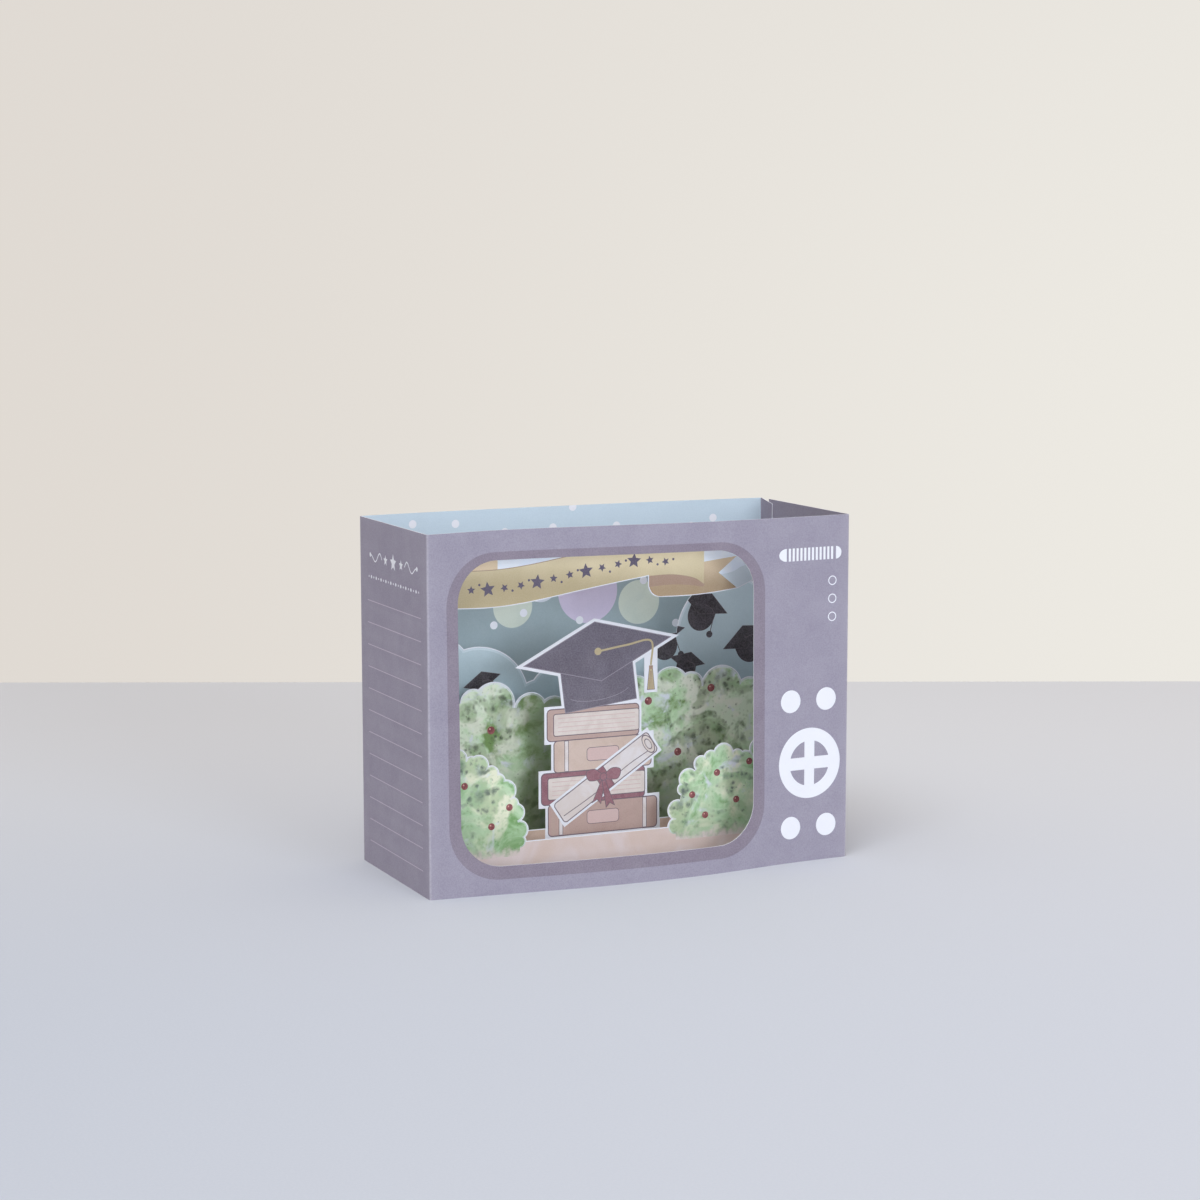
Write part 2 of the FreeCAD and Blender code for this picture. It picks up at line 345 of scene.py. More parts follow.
@dataclass
class Drawing:
    """A sheet drawn flat: what the die leaves, what it cuts out, and the prints on its two sides."""

    cuts: list[Points] = field(default_factory=list)
    holes: list[Points] = field(default_factory=list)
    front: list[tuple[Ink, Points]] = field(default_factory=list)
    inside: list[tuple[Ink, Points]] = field(default_factory=list)
    guides: list[Points] = field(default_factory=list)

    def fill(self, ink: Ink, *outlines: Points) -> None:
        """Paints outlines on the printed side, over what is there."""
        self.front.extend((ink, outline) for outline in outlines)

    def fill_inside(self, ink: Ink, *outlines: Points) -> None:
        """Paints outlines on the other side, over what is there."""
        self.inside.extend((ink, outline) for outline in outlines)

    def outlined(self, ink: Ink, outline: Points, line: float = 0.2) -> None:
        """Paints an outline with a thin drawn line around it."""
        self.fill(Ink.LINE, grow(outline, line / 2))
        self.fill(ink, grow(outline, -line / 2))

    def line(self, ink: Ink, path: Points, width: float) -> None:
        """Draws a line."""
        self.fill(ink, stroke(path, width))

    def triangulate(self) -> "FlatMesh":
        """Cuts the drawing into triangles along every outline, and gives each triangle its inks.

        Returns:
            The triangles inside the cut outlines. The last outline painted over a triangle colours it.
        """
        kinds = (self.cuts, self.holes, [s for _, s in self.front], [s for _, s in self.inside])
        shapes = [anticlockwise(shape) for kind in kinds for shape in kind]
        starts = np.concatenate([[0], np.cumsum([len(shape) for shape in shapes])])
        corners = np.concatenate(shapes + self.guides)
        faces = [list(range(a, b)) for a, b in zip(starts[:-1], starts[1:])]
        first = starts[-1]
        edges = [(first + 2 * k, first + 2 * k + 1) for k in range(len(self.guides))]
        out = delaunay_2d_cdt([Vector(p) for p in corners.tolist()], edges, faces, 0, 1e-5, True)
        triangles = np.array(out[2])
        ends = np.cumsum([len(kind) for kind in kinds])
        prints = self.front + self.inside
        keep = np.zeros(len(triangles), bool)
        inks = np.full((2, len(triangles)), Ink.BARE.value)
        for row, covers in enumerate(out[5]):
            kind = np.searchsorted(ends, covers, side="right")
            keep[row] = 0 in kind and 1 not in kind
            for side in (0, 1):
                painted = [cover for cover, k in zip(covers, kind) if k == 2 + side]
                if painted:
                    inks[side, row] = prints[max(painted) - ends[1]][0].value
        return FlatMesh.cleaned(np.array([tuple(v) for v in out[0]]), triangles[keep], inks[:, keep])


@dataclass
class FlatMesh:
    """Triangles of a flat drawing, with the ink of each on both sides."""

    points: np.ndarray
    triangles: np.ndarray
    inks: np.ndarray

    @classmethod
    def cleaned(cls, points: np.ndarray, triangles: np.ndarray, inks: np.ndarray) -> "FlatMesh":
        """The same triangles with the unused points left out."""
        used, renumbered = np.unique(triangles, return_inverse=True)
        return cls(points[used], renumbered.reshape(-1, 3), inks)

    def boundary(self) -> np.ndarray:
        """Finds the directed edges whose reverse no triangle has, with the card on their left.

        Returns:
            Array of pairs of point numbers.
        """
        edges = np.concatenate([self.triangles[:, pair] for pair in ([0, 1], [1, 2], [2, 0])])
        count = len(self.points)
        forward = edges[:, 0] * count + edges[:, 1]
        backward = edges[:, 1] * count + edges[:, 0]
        return edges[~np.isin(forward, backward)]


# Folding


@dataclass(frozen=True)
class FoldedPath:
    """Plan of a folded strip, seen from above: straight runs joined by quarter turns.

    The card's thickness lies to the left of the printed side's path.
    """

    start: tuple[float, float]
    heading: float
    runs: tuple[float, ...]
    radius: float
    sense: int
    origin: float

    def breaks(self) -> np.ndarray:
        """Adds up the runs and the turns' quarter circles.

        Returns:
            Drawn coordinate of the start, and at the end of each run and turn.
        """
        turn = self.radius * math.pi / 2
        lengths = [length for run in self.runs for length in (run, turn)][:-1]
        return self.origin + np.concatenate([[0.0], np.cumsum(lengths)])

    def locate(self, along: np.ndarray) -> tuple[np.ndarray, np.ndarray, np.ndarray]:
        """Places on the path: a run is a straight line, a turn is part of a circle.

        Args:
            along: drawn coordinates along the strip.

        Returns:
            Places, unit directions to the left, and the number of each one's run, counted with turns.
        """
        breaks = self.breaks()
        part = np.clip(np.searchsorted(breaks, along, side="right") - 1, 0, len(breaks) - 2)
        place = np.zeros((len(along), 2))
        left = np.zeros((len(along), 2))
        spot = np.array(self.start, float)
        heading = math.radians(self.heading)
        for k in range(len(breaks) - 1):
            mine = part == k
            ahead = np.array([math.cos(heading), math.sin(heading)])
            normal = np.array([-ahead[1], ahead[0]])
            step = along[mine] - breaks[k]
            if k % 2 == 0:
                place[mine] = spot + step[:, None] * ahead
                left[mine] = normal
                spot = spot + (breaks[k + 1] - breaks[k]) * ahead
            else:
                centre = spot + self.sense * self.radius * normal
                turn = self.sense * step / self.radius
                side = np.cos(turn)[:, None] * normal - np.sin(turn)[:, None] * ahead
                place[mine] = centre - self.sense * self.radius * side
                left[mine] = side
                heading += self.sense * math.pi / 2
                ahead = np.array([math.cos(heading), math.sin(heading)])
                spot = centre - self.sense * self.radius * np.array([-ahead[1], ahead[0]])
        return place, left, part

    def fold_guides(self, low: float, high: float, steps: int) -> list[Points]:
        """Lines across the strip that let each turn be round.

        Args:
            low, high: where they end.
            steps: number of strips in each turn.

        Returns:
            Pairs of points.
        """
        breaks = self.breaks()
        guides = []
        for first, last in zip(breaks[1:-1:2], breaks[2::2]):
            guides += [np.array([(u, low), (u, high)]) for u in np.linspace(first, last, steps + 1)]
        return guides

    def nearness_to_fold(self, along: np.ndarray, reach: float) -> np.ndarray:
        """One in the middle of a fold, falling to nothing by a Gaussian curve.

        Args:
            along: drawn coordinates along the strip.
            reach: distance at which it has fallen to about a third.

        Returns:
            The value at each place.
        """
        breaks = self.breaks()
        middles = (breaks[1:-1:2] + breaks[2::2]) / 2
        away = np.abs(along[:, None] - middles[None, :]).min(axis=1)
        return np.exp(-(away / reach) ** 2)


# Shader kit


def linear(colour: Colour) -> tuple[float, float, float, float]:
    """A screen colour as the linear colour that a shader takes, by the standard screen curve.

    Args:
        colour: red, green and blue from 0 to 255.

    Returns:
        Linear red, green and blue from 0 to 1, and 1 for opaque.
    """
    share = np.array(colour, float) / 255
    value = np.where(share <= 0.04045, share / 12.92, ((share + 0.055) / 1.055) ** 2.4)
    return (float(value[0]), float(value[1]), float(value[2]), 1.0)


class Value:
    """A number that varies over a surface. Arithmetic on it adds Math nodes."""

    def __init__(self, shader: "Shader", socket: bpy.types.NodeSocket) -> None:
        """Wraps an output socket of the shader's tree."""
        self.shader = shader
        self.socket = socket

    def _math(self, operation: str, first: object, second: object) -> "Value":
        """Adds one Math node."""
        return self.shader.value("ShaderNodeMath", {"operation": operation}, {0: first, 1: second})

    def __add__(self, other: object) -> "Value":
        """Sum."""
        return self._math("ADD", self, other)

    __radd__ = __add__

    def __sub__(self, other: object) -> "Value":
        """Difference."""
        return self._math("SUBTRACT", self, other)

    def __rsub__(self, other: object) -> "Value":
        """Difference, the other way round."""
        return self._math("SUBTRACT", other, self)

    def __mul__(self, other: object) -> "Value":
        """Product."""
        return self._math("MULTIPLY", self, other)

    __rmul__ = __mul__

    def step(self, low: float, high: float) -> "Value":
        """Zero below low, one above high, and a smooth rise between them."""
        inputs = {"Value": self, "From Min": low, "From Max": high}
        return self.shader.value("ShaderNodeMapRange", {"interpolation_type": "SMOOTHSTEP"}, inputs)


class Shader:
    """Builds the node tree of a material or a world."""

    def __init__(self, owner: bpy.types.Material | bpy.types.World) -> None:
        """Empties the owner's tree.

        Args:
            owner: the material or world to build.
        """
        owner.use_nodes = True
        self.owner = owner
        self.tree = owner.node_tree
        self.tree.nodes.clear()

    def node(self, kind: str, settings: dict[str, object], inputs: dict[object, object]) -> bpy.types.Node:
        """Adds a node.

        Args:
            kind: its type.
            settings: properties, set first. "ramp" holds a colour ramp's stops.
            inputs: sockets by name or number, each given a value or what to link.

        Returns:
            The node.
        """
        made = self.tree.nodes.new(kind)
        for key, setting in settings.items():
            if key == "ramp":
                self._fill_ramp(made.color_ramp, setting)
            else:
                setattr(made, key, setting)
        for key, given in inputs.items():
            socket = made.inputs[key]
            if isinstance(given, Value):
                self.tree.links.new(given.socket, socket)
            elif isinstance(given, bpy.types.NodeSocket):
                self.tree.links.new(given, socket)
            else:
                socket.default_value = given
        return made

    def value(self, kind: str, settings: dict[str, object], inputs: dict[object, object],
              output: int | str = 0) -> Value:
        """Adds a node and takes one of its outputs as a number."""
        return Value(self, self.node(kind, settings, inputs).outputs[output])

    @staticmethod
    def _fill_ramp(ramp: bpy.types.ColorRamp, stops: Sequence[tuple[float, Colour]]) -> None:
        """Gives a colour ramp its stops.

        Args:
            ramp: the ramp.
            stops: place and screen colour of each.
        """
        while len(ramp.elements) < len(stops):
            ramp.elements.new(1.0)
        for element, (place, colour) in zip(ramp.elements, stops):
            element.position = place
            element.color = linear(colour)

    def place(self) -> bpy.types.NodeSocket:
        """Object coordinates, in metres."""
        return self.node("ShaderNodeTexCoord", {}, {}).outputs["Object"]

    def axis(self, name: str) -> Value:
        """A coordinate of the place, in metres: X to the right of the card's middle, Z above the table."""
        return self.value("ShaderNodeSeparateXYZ", {}, {0: self.place()}, name)

    def along(self, direction: Iterable[float]) -> Value:
        """Distance of the place along a direction, in metres: their dot product."""
        inputs = {0: self.place(), 1: tuple(direction)}
        return self.value("ShaderNodeVectorMath", {"operation": "DOT_PRODUCT"}, inputs, "Value")

    def noise(self, size: float, detail: float = 3.0, twist: float = 0.0, rough: float = 0.55) -> Value:
        """Cloudy noise.

        Args:
            size: about how wide its features are, in millimetres.
            detail: number of finer layers.
            twist: how far it is distorted.
            rough: weight of the finer layers.

        Returns:
            A number around one half.
        """
        inputs = {"Vector": self.place(), "Scale": 1 / (size * MM), "Detail": detail,
                  "Distortion": twist, "Roughness": rough}
        return self.value("ShaderNodeTexNoise", {}, inputs)

    def uneven(self, place: Value, size: float, spread: float, twist: float = 0.0) -> Value:
        """A coordinate in millimetres, moved by noise so that a border along it is wavy.

        Args:
            place: the coordinate in metres.
            size: about how wide the waves are.
            spread: the most that it moves, both ways together.
            twist: distortion of the noise.

        Returns:
            The coordinate plus the noise.
        """
        return place * (1 / MM) + (self.noise(size, 4.0, twist) - 0.5) * spread

    def cells(self, size: float) -> tuple[Value, Value]:
        """Scattered points.

        Args:
            size: their mean spacing in millimetres.

        Returns:
            Distance to the nearest of them, in spacings, and a random number for each.
        """
        inputs = {"Vector": self.place(), "Scale": 1 / (size * MM)}
        made = self.node("ShaderNodeTexVoronoi", {}, inputs)
        pick = self.value("ShaderNodeSeparateColor", {}, {0: made.outputs["Color"]})
        return Value(self, made.outputs["Distance"]), pick

    def attribute(self, name: str) -> Value:
        """A number stored on the mesh."""
        return self.value("ShaderNodeAttribute", {"attribute_name": name}, {}, "Fac")

    def ramp(self, value: Value, stops: Sequence[tuple[float, Colour]]) -> bpy.types.NodeSocket:
        """Colours along a value."""
        return self.node("ShaderNodeValToRGB", {"ramp": stops}, {0: value}).outputs[0]

    def mix(self, factor: object, first: object, second: object) -> bpy.types.NodeSocket:
        """Mixes two colours, each given as a screen colour or a link."""
        first, second = (linear(c) if isinstance(c, tuple) else c for c in (first, second))
        return self.node("ShaderNodeMix", {"data_type": "RGBA"}, {0: factor, 6: first, 7: second}).outputs[2]

    def finish(self, colour: object, roughness: object, relief: Value, depth: float) -> bpy.types.Material:
        """Closes the material with a matt surface.

        Args:
            colour: link or screen colour.
            roughness: number or value.
            relief: height of the surface, from 0 to 1.
            depth: what a height of 1 means, in millimetres.

        Returns:
            The material.
        """
        bump = self.node("ShaderNodeBump", {}, {"Strength": 0.6, "Distance": depth * MM, "Height": relief})
        base = linear(colour) if isinstance(colour, tuple) else colour
        inputs = {"Base Color": base, "Roughness": roughness, "Specular IOR Level": 0.25,
                  "Normal": bump.outputs[0]}
        surface = self.node("ShaderNodeBsdfPrincipled", {}, inputs)
        self.node("ShaderNodeOutputMaterial", {}, {"Surface": surface.outputs[0]})
        return self.owner


# Finishes


@dataclass(frozen=True)
class Print:
    """Flat matt ink on uncoated card: a fine grain, faint clouds in the colour and the card's own fibres."""

    name: str
    colour: Colour
    grain: float = 0.05
    cloud: float = 0.04
    fold_wear_and_highlight: float = 0.0
    roughness: float = 0.82
    fibre_size: float = 0.45
    cloud_size: float = 9.0
    pale_steps: tuple[Pair, Pair] = ((0.3, 0.7), (0.25, 0.75))
    dark_steps: tuple[Pair, Pair] = ((0.25, 0.6), (0.25, 0.75))
    pale_ink: Colour = (255, 255, 255)
    dark_ink: Colour = (40, 36, 44)
    fold_wear_and_highlight_ink: Colour = (226, 224, 232)
    relief: float = 0.02

    def tone(self, shader: Shader) -> object:
        """The ink's colour before its grain.

        Args:
            shader: the material in the making; not used by plain ink.

        Returns:
            A link or a screen colour.
        """
        return self.colour

    def build(self) -> bpy.types.Material:
        """Makes the material.

        Returns:
            The material: the tone darkened and lightened by fibres and clouds, and paler at folds: worn ink,
                and a painted highlight where a fold's round edge catches light.
        """
        shader = Shader(bpy.data.materials.new(self.name))
        fibre = shader.noise(self.fibre_size, 2.0)
        clouds = shader.noise(self.cloud_size, 3.0, 0.4)
        fine, broad = self.pale_steps
        light = fibre.step(*fine) * self.grain + clouds.step(*broad) * self.cloud
        pale = shader.mix(light, self.tone(shader), self.pale_ink)
        fine, broad = self.dark_steps
        dark = (1 - fibre.step(*fine)) * self.grain + (1 - clouds.step(*broad)) * self.cloud
        colour = shader.mix(dark, pale, self.dark_ink)
        # Folds turn paler: worn ink, and a painted highlight standing in for light on the fold's round edge.
        if self.fold_wear_and_highlight > 0:
            patchy = 0.7 + shader.noise(1.4, 3.0).step(0.3, 0.7) * 0.5
            colour = shader.mix(shader.attribute("crease") * patchy * self.fold_wear_and_highlight, colour, self.fold_wear_and_highlight_ink)
        return shader.finish(colour, self.roughness + fibre * 0.1, fibre, self.relief)


@dataclass(frozen=True)
class Wash(Print):
    """Ink that changes slowly from one colour to another, as a painted wash does."""

    other: Colour = (255, 255, 255)
    size: float = 14.0
    low: float = 0.35
    high: float = 0.65

    def tone(self, shader: Shader) -> object:
        """Two colours mixed by large soft noise."""
        share = shader.noise(self.size, 3.0, 0.8).step(self.low, self.high)
        return shader.mix(share, self.colour, self.other)


@dataclass(frozen=True)
class Rise(Print):
    """Ink that changes with height, or along a slant, with an uneven border."""

    other: Colour = (255, 255, 255)
    low: float = 0.0
    high: float = 100.0
    wave_size: float = 10.0
    uneven: float = 6.0
    slant: float = 0.0

    def tone(self, shader: Shader) -> object:
        """Lower and upper colour mixed by height, less slant times the place across, plus noise.

        Args:
            shader: the shader the nodes go in.

        Returns:
            The colour of the ink.
        """
        level = shader.axis("Z") - shader.axis("X") * self.slant
        level = shader.uneven(level, self.wave_size, 2 * self.uneven, 0.5)
        return shader.mix(level.step(self.low, self.high), self.colour, self.other)


@dataclass(frozen=True)
class Foliage(Print):
    """Leaves painted in washes: soft patches, small dabs, dark sponged clumps, dots and pale mist."""

    light: Colour = (198, 216, 182)
    cream: Colour = (226, 231, 200)
    deep: Colour = (128, 152, 106)
    clump: Colour = (96, 108, 104)
    mist: Colour = (236, 242, 252)
    patch: float = 15.0
    patch_steps: tuple[float, float, float] = (0.37, 0.46, 0.57)
    glow_size: float = 11.0
    glow_steps: Pair = (0.46, 0.62)
    cream_share: float = 0.75
    light_dabs: Pair = (2.3, 0.35)
    deep_dabs: Pair = (1.4, 0.45)
    deep_dabs_share: float = 0.3
    haze_size: float = 8.0
    haze_steps: Pair = (0.53, 0.68)
    haze_share: float = 0.9
    zone_size: float = 12.0
    zone_steps: Pair = (0.51, 0.60)
    zone_share: float = 0.45
    dots: tuple[float, float, float, float] = (1.0, 0.88, 0.12, 0.34)
    dots_share: float = 0.5
    clump_share: float = 0.7
    clump_radii: Pair = (0.0, 0.56)
    clumps: tuple[tuple[float, float, float], ...] = ((5.4, 0.25, 0.75), (3.2, 0.35, 0.9), (1.9, 0.50, 1.0))
    # Colour of the darker foot, and of the painted shadow near an upright line.
    low_ink_and_shade: Colour = (120, 138, 100)
    tint_share: float = 0.4
    tint_from: float = 40.0
    tint_to: float = 12.0
    tint_waves: Pair = (7.0, 14.0)
    fade_to: Colour | None = None
    fade_from: float = 12.5
    fade_end: float = 8.0
    fade_waves: Pair = (2.4, 8.0)
    painted_shadow_share: float = 0.0
    painted_shadow_middle: float = -19.0
    painted_shadow_reach: float = 15.0
    painted_shadow_waves: Pair = (8.0, 12.0)
    pale: float = 0.0

    @staticmethod
    def dabs(shader: Shader, size: float, rarity: float, core: float = 0.12, rim: float = 0.50) -> Value:
        """Soft ragged dabs: full inside a core, gone at a rim, with a share of the scattered points left out.

        Args:
            shader: the material in the making.
            size: mean spacing in millimetres.
            rarity: share of the points that get no dab.
            core, rim: the two radii, in spacings.

        Returns:
            How much of the dab's colour covers each place.
        """
        near, pick = shader.cells(size)
        ragged = near + (shader.noise(0.45 * size, 2.0) - 0.5) * 0.7
        return (1 - ragged.step(core, rim)) * pick.step(rarity, rarity + 0.1)

    def tone(self, shader: Shader) -> object:
        """Layers of leaf colour from broad washes down to single dots, then shade, mist and a faded foot."""
        return self.shades(shader, self.sponged(shader, self.washes(shader)))

    def washes(self, shader: Shader) -> object:
        """Broad patches from deep to light, a cream glow, and small dabs of both.

        Args:
            shader: the material in the making.

        Returns:
            Link of the colour.
        """
        broad = shader.noise(self.patch, 5.0, 0.5, 0.6)
        colour = shader.ramp(broad, list(zip(self.patch_steps, (self.deep, self.colour, self.light))))
        glow = shader.noise(self.glow_size, 4.0, 0.4).step(*self.glow_steps)
        colour = shader.mix(glow * self.cream_share, colour, self.cream)
        colour = shader.mix(self.dabs(shader, *self.light_dabs) * (0.25 + glow * 0.3), colour, self.light)
        return shader.mix(self.dabs(shader, *self.deep_dabs) * self.deep_dabs_share, colour, self.deep)

    def sponged(self, shader: Shader, colour: object) -> object:
        """Pale haze, then zones of deep colour with dark clumps of three sizes, and single dots.

        Args:
            shader: the material in the making.
            colour: link of the colour so far.

        Returns:
            Link of the new colour.
        """
        haze = shader.noise(self.haze_size, 5.0, 0.6, 0.6).step(*self.haze_steps)
        colour = shader.mix(haze * self.haze_share, colour, self.mist)
        zone = shader.noise(self.zone_size, 3.0, 0.5).step(*self.zone_steps)
        colour = shader.mix(zone * self.zone_share, colour, self.deep)
        for size, rarity, share in self.clumps:
            dabs = self.dabs(shader, size, rarity, *self.clump_radii) * zone
            colour = shader.mix(dabs * (self.clump_share * share), colour, self.clump)
        return shader.mix(self.dabs(shader, *self.dots) * self.dots_share, colour, self.clump)

    def shades(self, shader: Shader, colour: object) -> object:
        """Darker towards the ground (print, and on the hedge painted shade) and near an upright line (painted
        shadow of the figure), paler where it is a rim, and a faded foot.

        Args:
            shader: the material in the making.
            colour: link of the colour so far.

        Returns:
            Link of the new colour.
        """
        # Darker towards the ground: the print's darker foot, and on the hedge also painted shade.
        level = shader.uneven(shader.axis("Z"), *self.tint_waves)
        low = (1 - level.step(self.tint_to, self.tint_from)) * self.tint_share
        colour = shader.mix(low, colour, self.low_ink_and_shade)
        # Painted shadow of the figure on the hedge, darkest along an upright line left of the figure's
        # middle.
        if self.painted_shadow_share > 0:
            away = shader.uneven(shader.axis("X"), *self.painted_shadow_waves) - self.painted_shadow_middle
            near = 1 - (away * away).step(0.0, self.painted_shadow_reach ** 2)
            colour = shader.mix(near * self.painted_shadow_share, colour, self.low_ink_and_shade)
        if self.pale > 0:
            patchy = 0.5 + shader.noise(3.0, 3.0).step(0.35, 0.65)
            colour = shader.mix(self.pale * patchy, colour, self.mist)
        if self.fade_to is not None:
            edge = shader.uneven(shader.axis("Z"), *self.fade_waves)
            colour = shader.mix(1 - edge.step(self.fade_end, self.fade_from), colour, self.fade_to)
        return colour


FINISHES: dict[Ink, Print] = {
    Ink.BARE: Print("bare card", (240, 243, 250), 0.02, 0.02, roughness=0.9),
    # The sleeve's outer and inner prints pale at the folds: worn ink and a painted highlight.
    Ink.PURPLE: Print("purple-grey print", (157, 153, 171), 0.055, 0.03, fold_wear_and_highlight=0.35),
    Ink.BAND: Print("window band print", (138, 129, 145), 0.05, 0.03),
    Ink.WHITE: Print("white marks", (244, 247, 254), 0.015, 0.015),
    Ink.RULE: Print("writing lines", (203, 195, 209), 0.03, 0.02),
    Ink.INSIDE: Print("inside purple-grey print", (150, 145, 163), 0.05, 0.03, fold_wear_and_highlight=0.3),
    # Sky: darker below the window's top and lighter above it: painted shade deep inside the box, and the
    # strip over the front panel painted as lit.
    Ink.SKY: Rise("sky print with painted shade", (165, 183, 188), 0.03, 0.02, other=(208, 227, 239), low=96.0, high=112.0,
                  uneven=2.0),
    Ink.LILAC: Wash("lilac disc", (222, 212, 236), 0.03, 0.02, other=(216, 206, 231)),
    Ink.MINT: Wash("mint disc", (214, 226, 214), 0.03, 0.02, other=(222, 232, 218)),
    Ink.PEARL: Print("pearl disc", (220, 228, 238), 0.03, 0.02),
    Ink.CLOUD: Rise("cloud print", (176, 197, 203), 0.03, 0.03, other=(198, 217, 223), low=52.0, high=84.0),
    Ink.CLOUD_RIM: Rise("cloud rim print", (192, 211, 218), 0.03, 0.03, other=(216, 230, 237), low=52.0,
                        high=84.0),
    Ink.CLOUD_WHITE: Wash("white cloud print", (240, 248, 255), 0.015, 0.01, other=(232, 243, 255), size=9.0),
    Ink.SMALL_CAP: Wash("small cap print", (58, 52, 57), 0.05, 0.03, other=(74, 68, 74), size=5.0),
    Ink.SMALL_CAP_EDGE: Print("small cap edge", (92, 84, 90), 0.05, 0.03),
    # Hedge: darker low down and in a band behind the figure's left: print and painted shade.
    Ink.HEDGE: Foliage("hedge print with painted shade", (200, 232, 187), 0.02, 0.02, light=(231, 247, 221),
                       cream=(250, 252, 237), deep=(124, 158, 94), clump=(62, 72, 58), clump_share=0.8,
                       low_ink_and_shade=(100, 112, 74), tint_share=0.6, tint_from=46.0, painted_shadow_share=0.6),
    Ink.BUSH: Foliage("bush print", (180, 218, 171), 0.02, 0.02, light=(213, 236, 203),
                      cream=(244, 248, 221), deep=(122, 172, 104), clump=(84, 98, 100), patch=12.0,
                      cream_share=0.95, clump_share=0.85, low_ink_and_shade=(140, 170, 128), tint_from=26.0,
                      tint_to=10.0, fade_to=(228, 214, 210)),
    Ink.BERRY: Wash("berry print", (132, 66, 70), 0.04, 0.03, other=(166, 98, 98), size=1.6),
    Ink.BERRY_SHINE: Print("berry shine", (222, 170, 160), 0.03, 0.02),
    Ink.GROUND: Wash("ground print", (230, 216, 214), 0.03, 0.02, other=(222, 202, 192), size=18.0),
    Ink.GROUND_BACK: Wash("back ground print", (214, 190, 174), 0.04, 0.03, other=(202, 176, 158), size=12.0),
    # Ribbon and tail: darker low down, much paler high up and to the right: painted shade along the lower
    # edge, and painted light that offsets the shadow of the front panel's top on their upper part.
    Ink.RIBBON: Rise("ribbon print with painted light and shade", (194, 180, 143), 0.04, 0.03, other=(242, 228, 190), low=96.0, high=111.0,
                     uneven=2.0, slant=-0.06),
    Ink.RIBBON_TAIL: Rise("ribbon tail print with painted light and shade", (180, 157, 126), 0.04, 0.03, other=(230, 209, 176), low=96.0,
                          high=106.0, uneven=2.0),
    Ink.RIBBON_SHADE: Print("ribbon shade print", (174, 147, 128), 0.04, 0.03),
    Ink.STAR: Print("star print", (98, 90, 112), 0.05, 0.03),
    Ink.CAP: Wash("cap print", (112, 107, 122), 0.07, 0.04, other=(104, 98, 113), size=16.0),
    Ink.CAP_LINE: Print("cap line", (152, 146, 158), 0.04, 0.02),
    Ink.BROWN: Wash("brown cover print", (190, 163, 154), 0.04, 0.03, other=(198, 172, 163), size=12.0),
    Ink.TAN: Wash("tan cover print", (210, 188, 174), 0.04, 0.03, other=(218, 198, 186), size=10.0),
    Ink.CREAM: Wash("cream print", (236, 232, 234), 0.02, 0.02, other=(226, 217, 213), size=8.0),
    Ink.PAGES: Wash("page print", (232, 223, 217), 0.03, 0.02, other=(222, 210, 203), size=6.0),
    Ink.WINE: Wash("wine print", (146, 98, 110), 0.05, 0.03, other=(160, 114, 124), size=4.0),
    Ink.BLUSH: Print("blush print", (218, 192, 188), 0.04, 0.02),
    Ink.LINE: Print("drawn line", (118, 103, 113), 0.04, 0.02),
}
FINISHES[Ink.HEDGE_RIM] = replace(FINISHES[Ink.HEDGE], name="hedge rim print with painted shade", pale=0.5)
FINISHES[Ink.BUSH_RIM] = replace(FINISHES[Ink.BUSH], name="bush rim print", pale=0.45)


class Palette:
    """Makes each finish's material once, when it is first used."""

    def __init__(self) -> None:
        """Starts with no material made."""
        self.made: dict[Ink, bpy.types.Material] = {}

    def material(self, ink: Ink) -> bpy.types.Material:
        """Finds an ink's material, or makes it.

        Args:
            ink: the ink.

        Returns:
            Its material.
        """
        if ink not in self.made:
            self.made[ink] = FINISHES[ink].build()
        return self.made[ink]


# Sheets


@dataclass(frozen=True)
class Sizes:
    """Sizes that every sheet shares, in millimetres."""

    width: float
    height: float
    depth: float
    front_face: float
    card: float = 0.35
    fold_radius: float = 0.8
    sheet: float = 0.30
    sheet_fold_radius: float = 0.7
    sheet_lift: float = 0.5
    tab_depth: float = 7.0
    tab_bevel: float = 2.0
    foreground_top_drop: float = 2.5
    bare_edge: float = 0.3
    seat: float = 0.02

    @classmethod
    def from_frame(cls, front_bow: float, back_bow: float) -> "Sizes":
        """Reads the card's box from the frame.

        Args:
            front_bow: how far the front panel stands out of its folds.
            back_bow: the same for the back panel.

        Returns:
            The sizes.
        """
        low, high = (np.array(corner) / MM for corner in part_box("folded_sleeve"))
        depth = high[1] - low[1] - front_bow - back_bow
        return cls(high[0] - low[0], high[2] - low[2], depth, low[1] + front_bow)

    @property
    def half(self) -> float:
        """Half the width."""
        return self.width / 2

    @property
    def back_face(self) -> float:
        """Outer face of the back folds."""
        return self.front_face + self.depth

    @property
    def inner(self) -> float:
        """Inner face of the right panel; the left one is its mirror."""
        return self.half - self.card


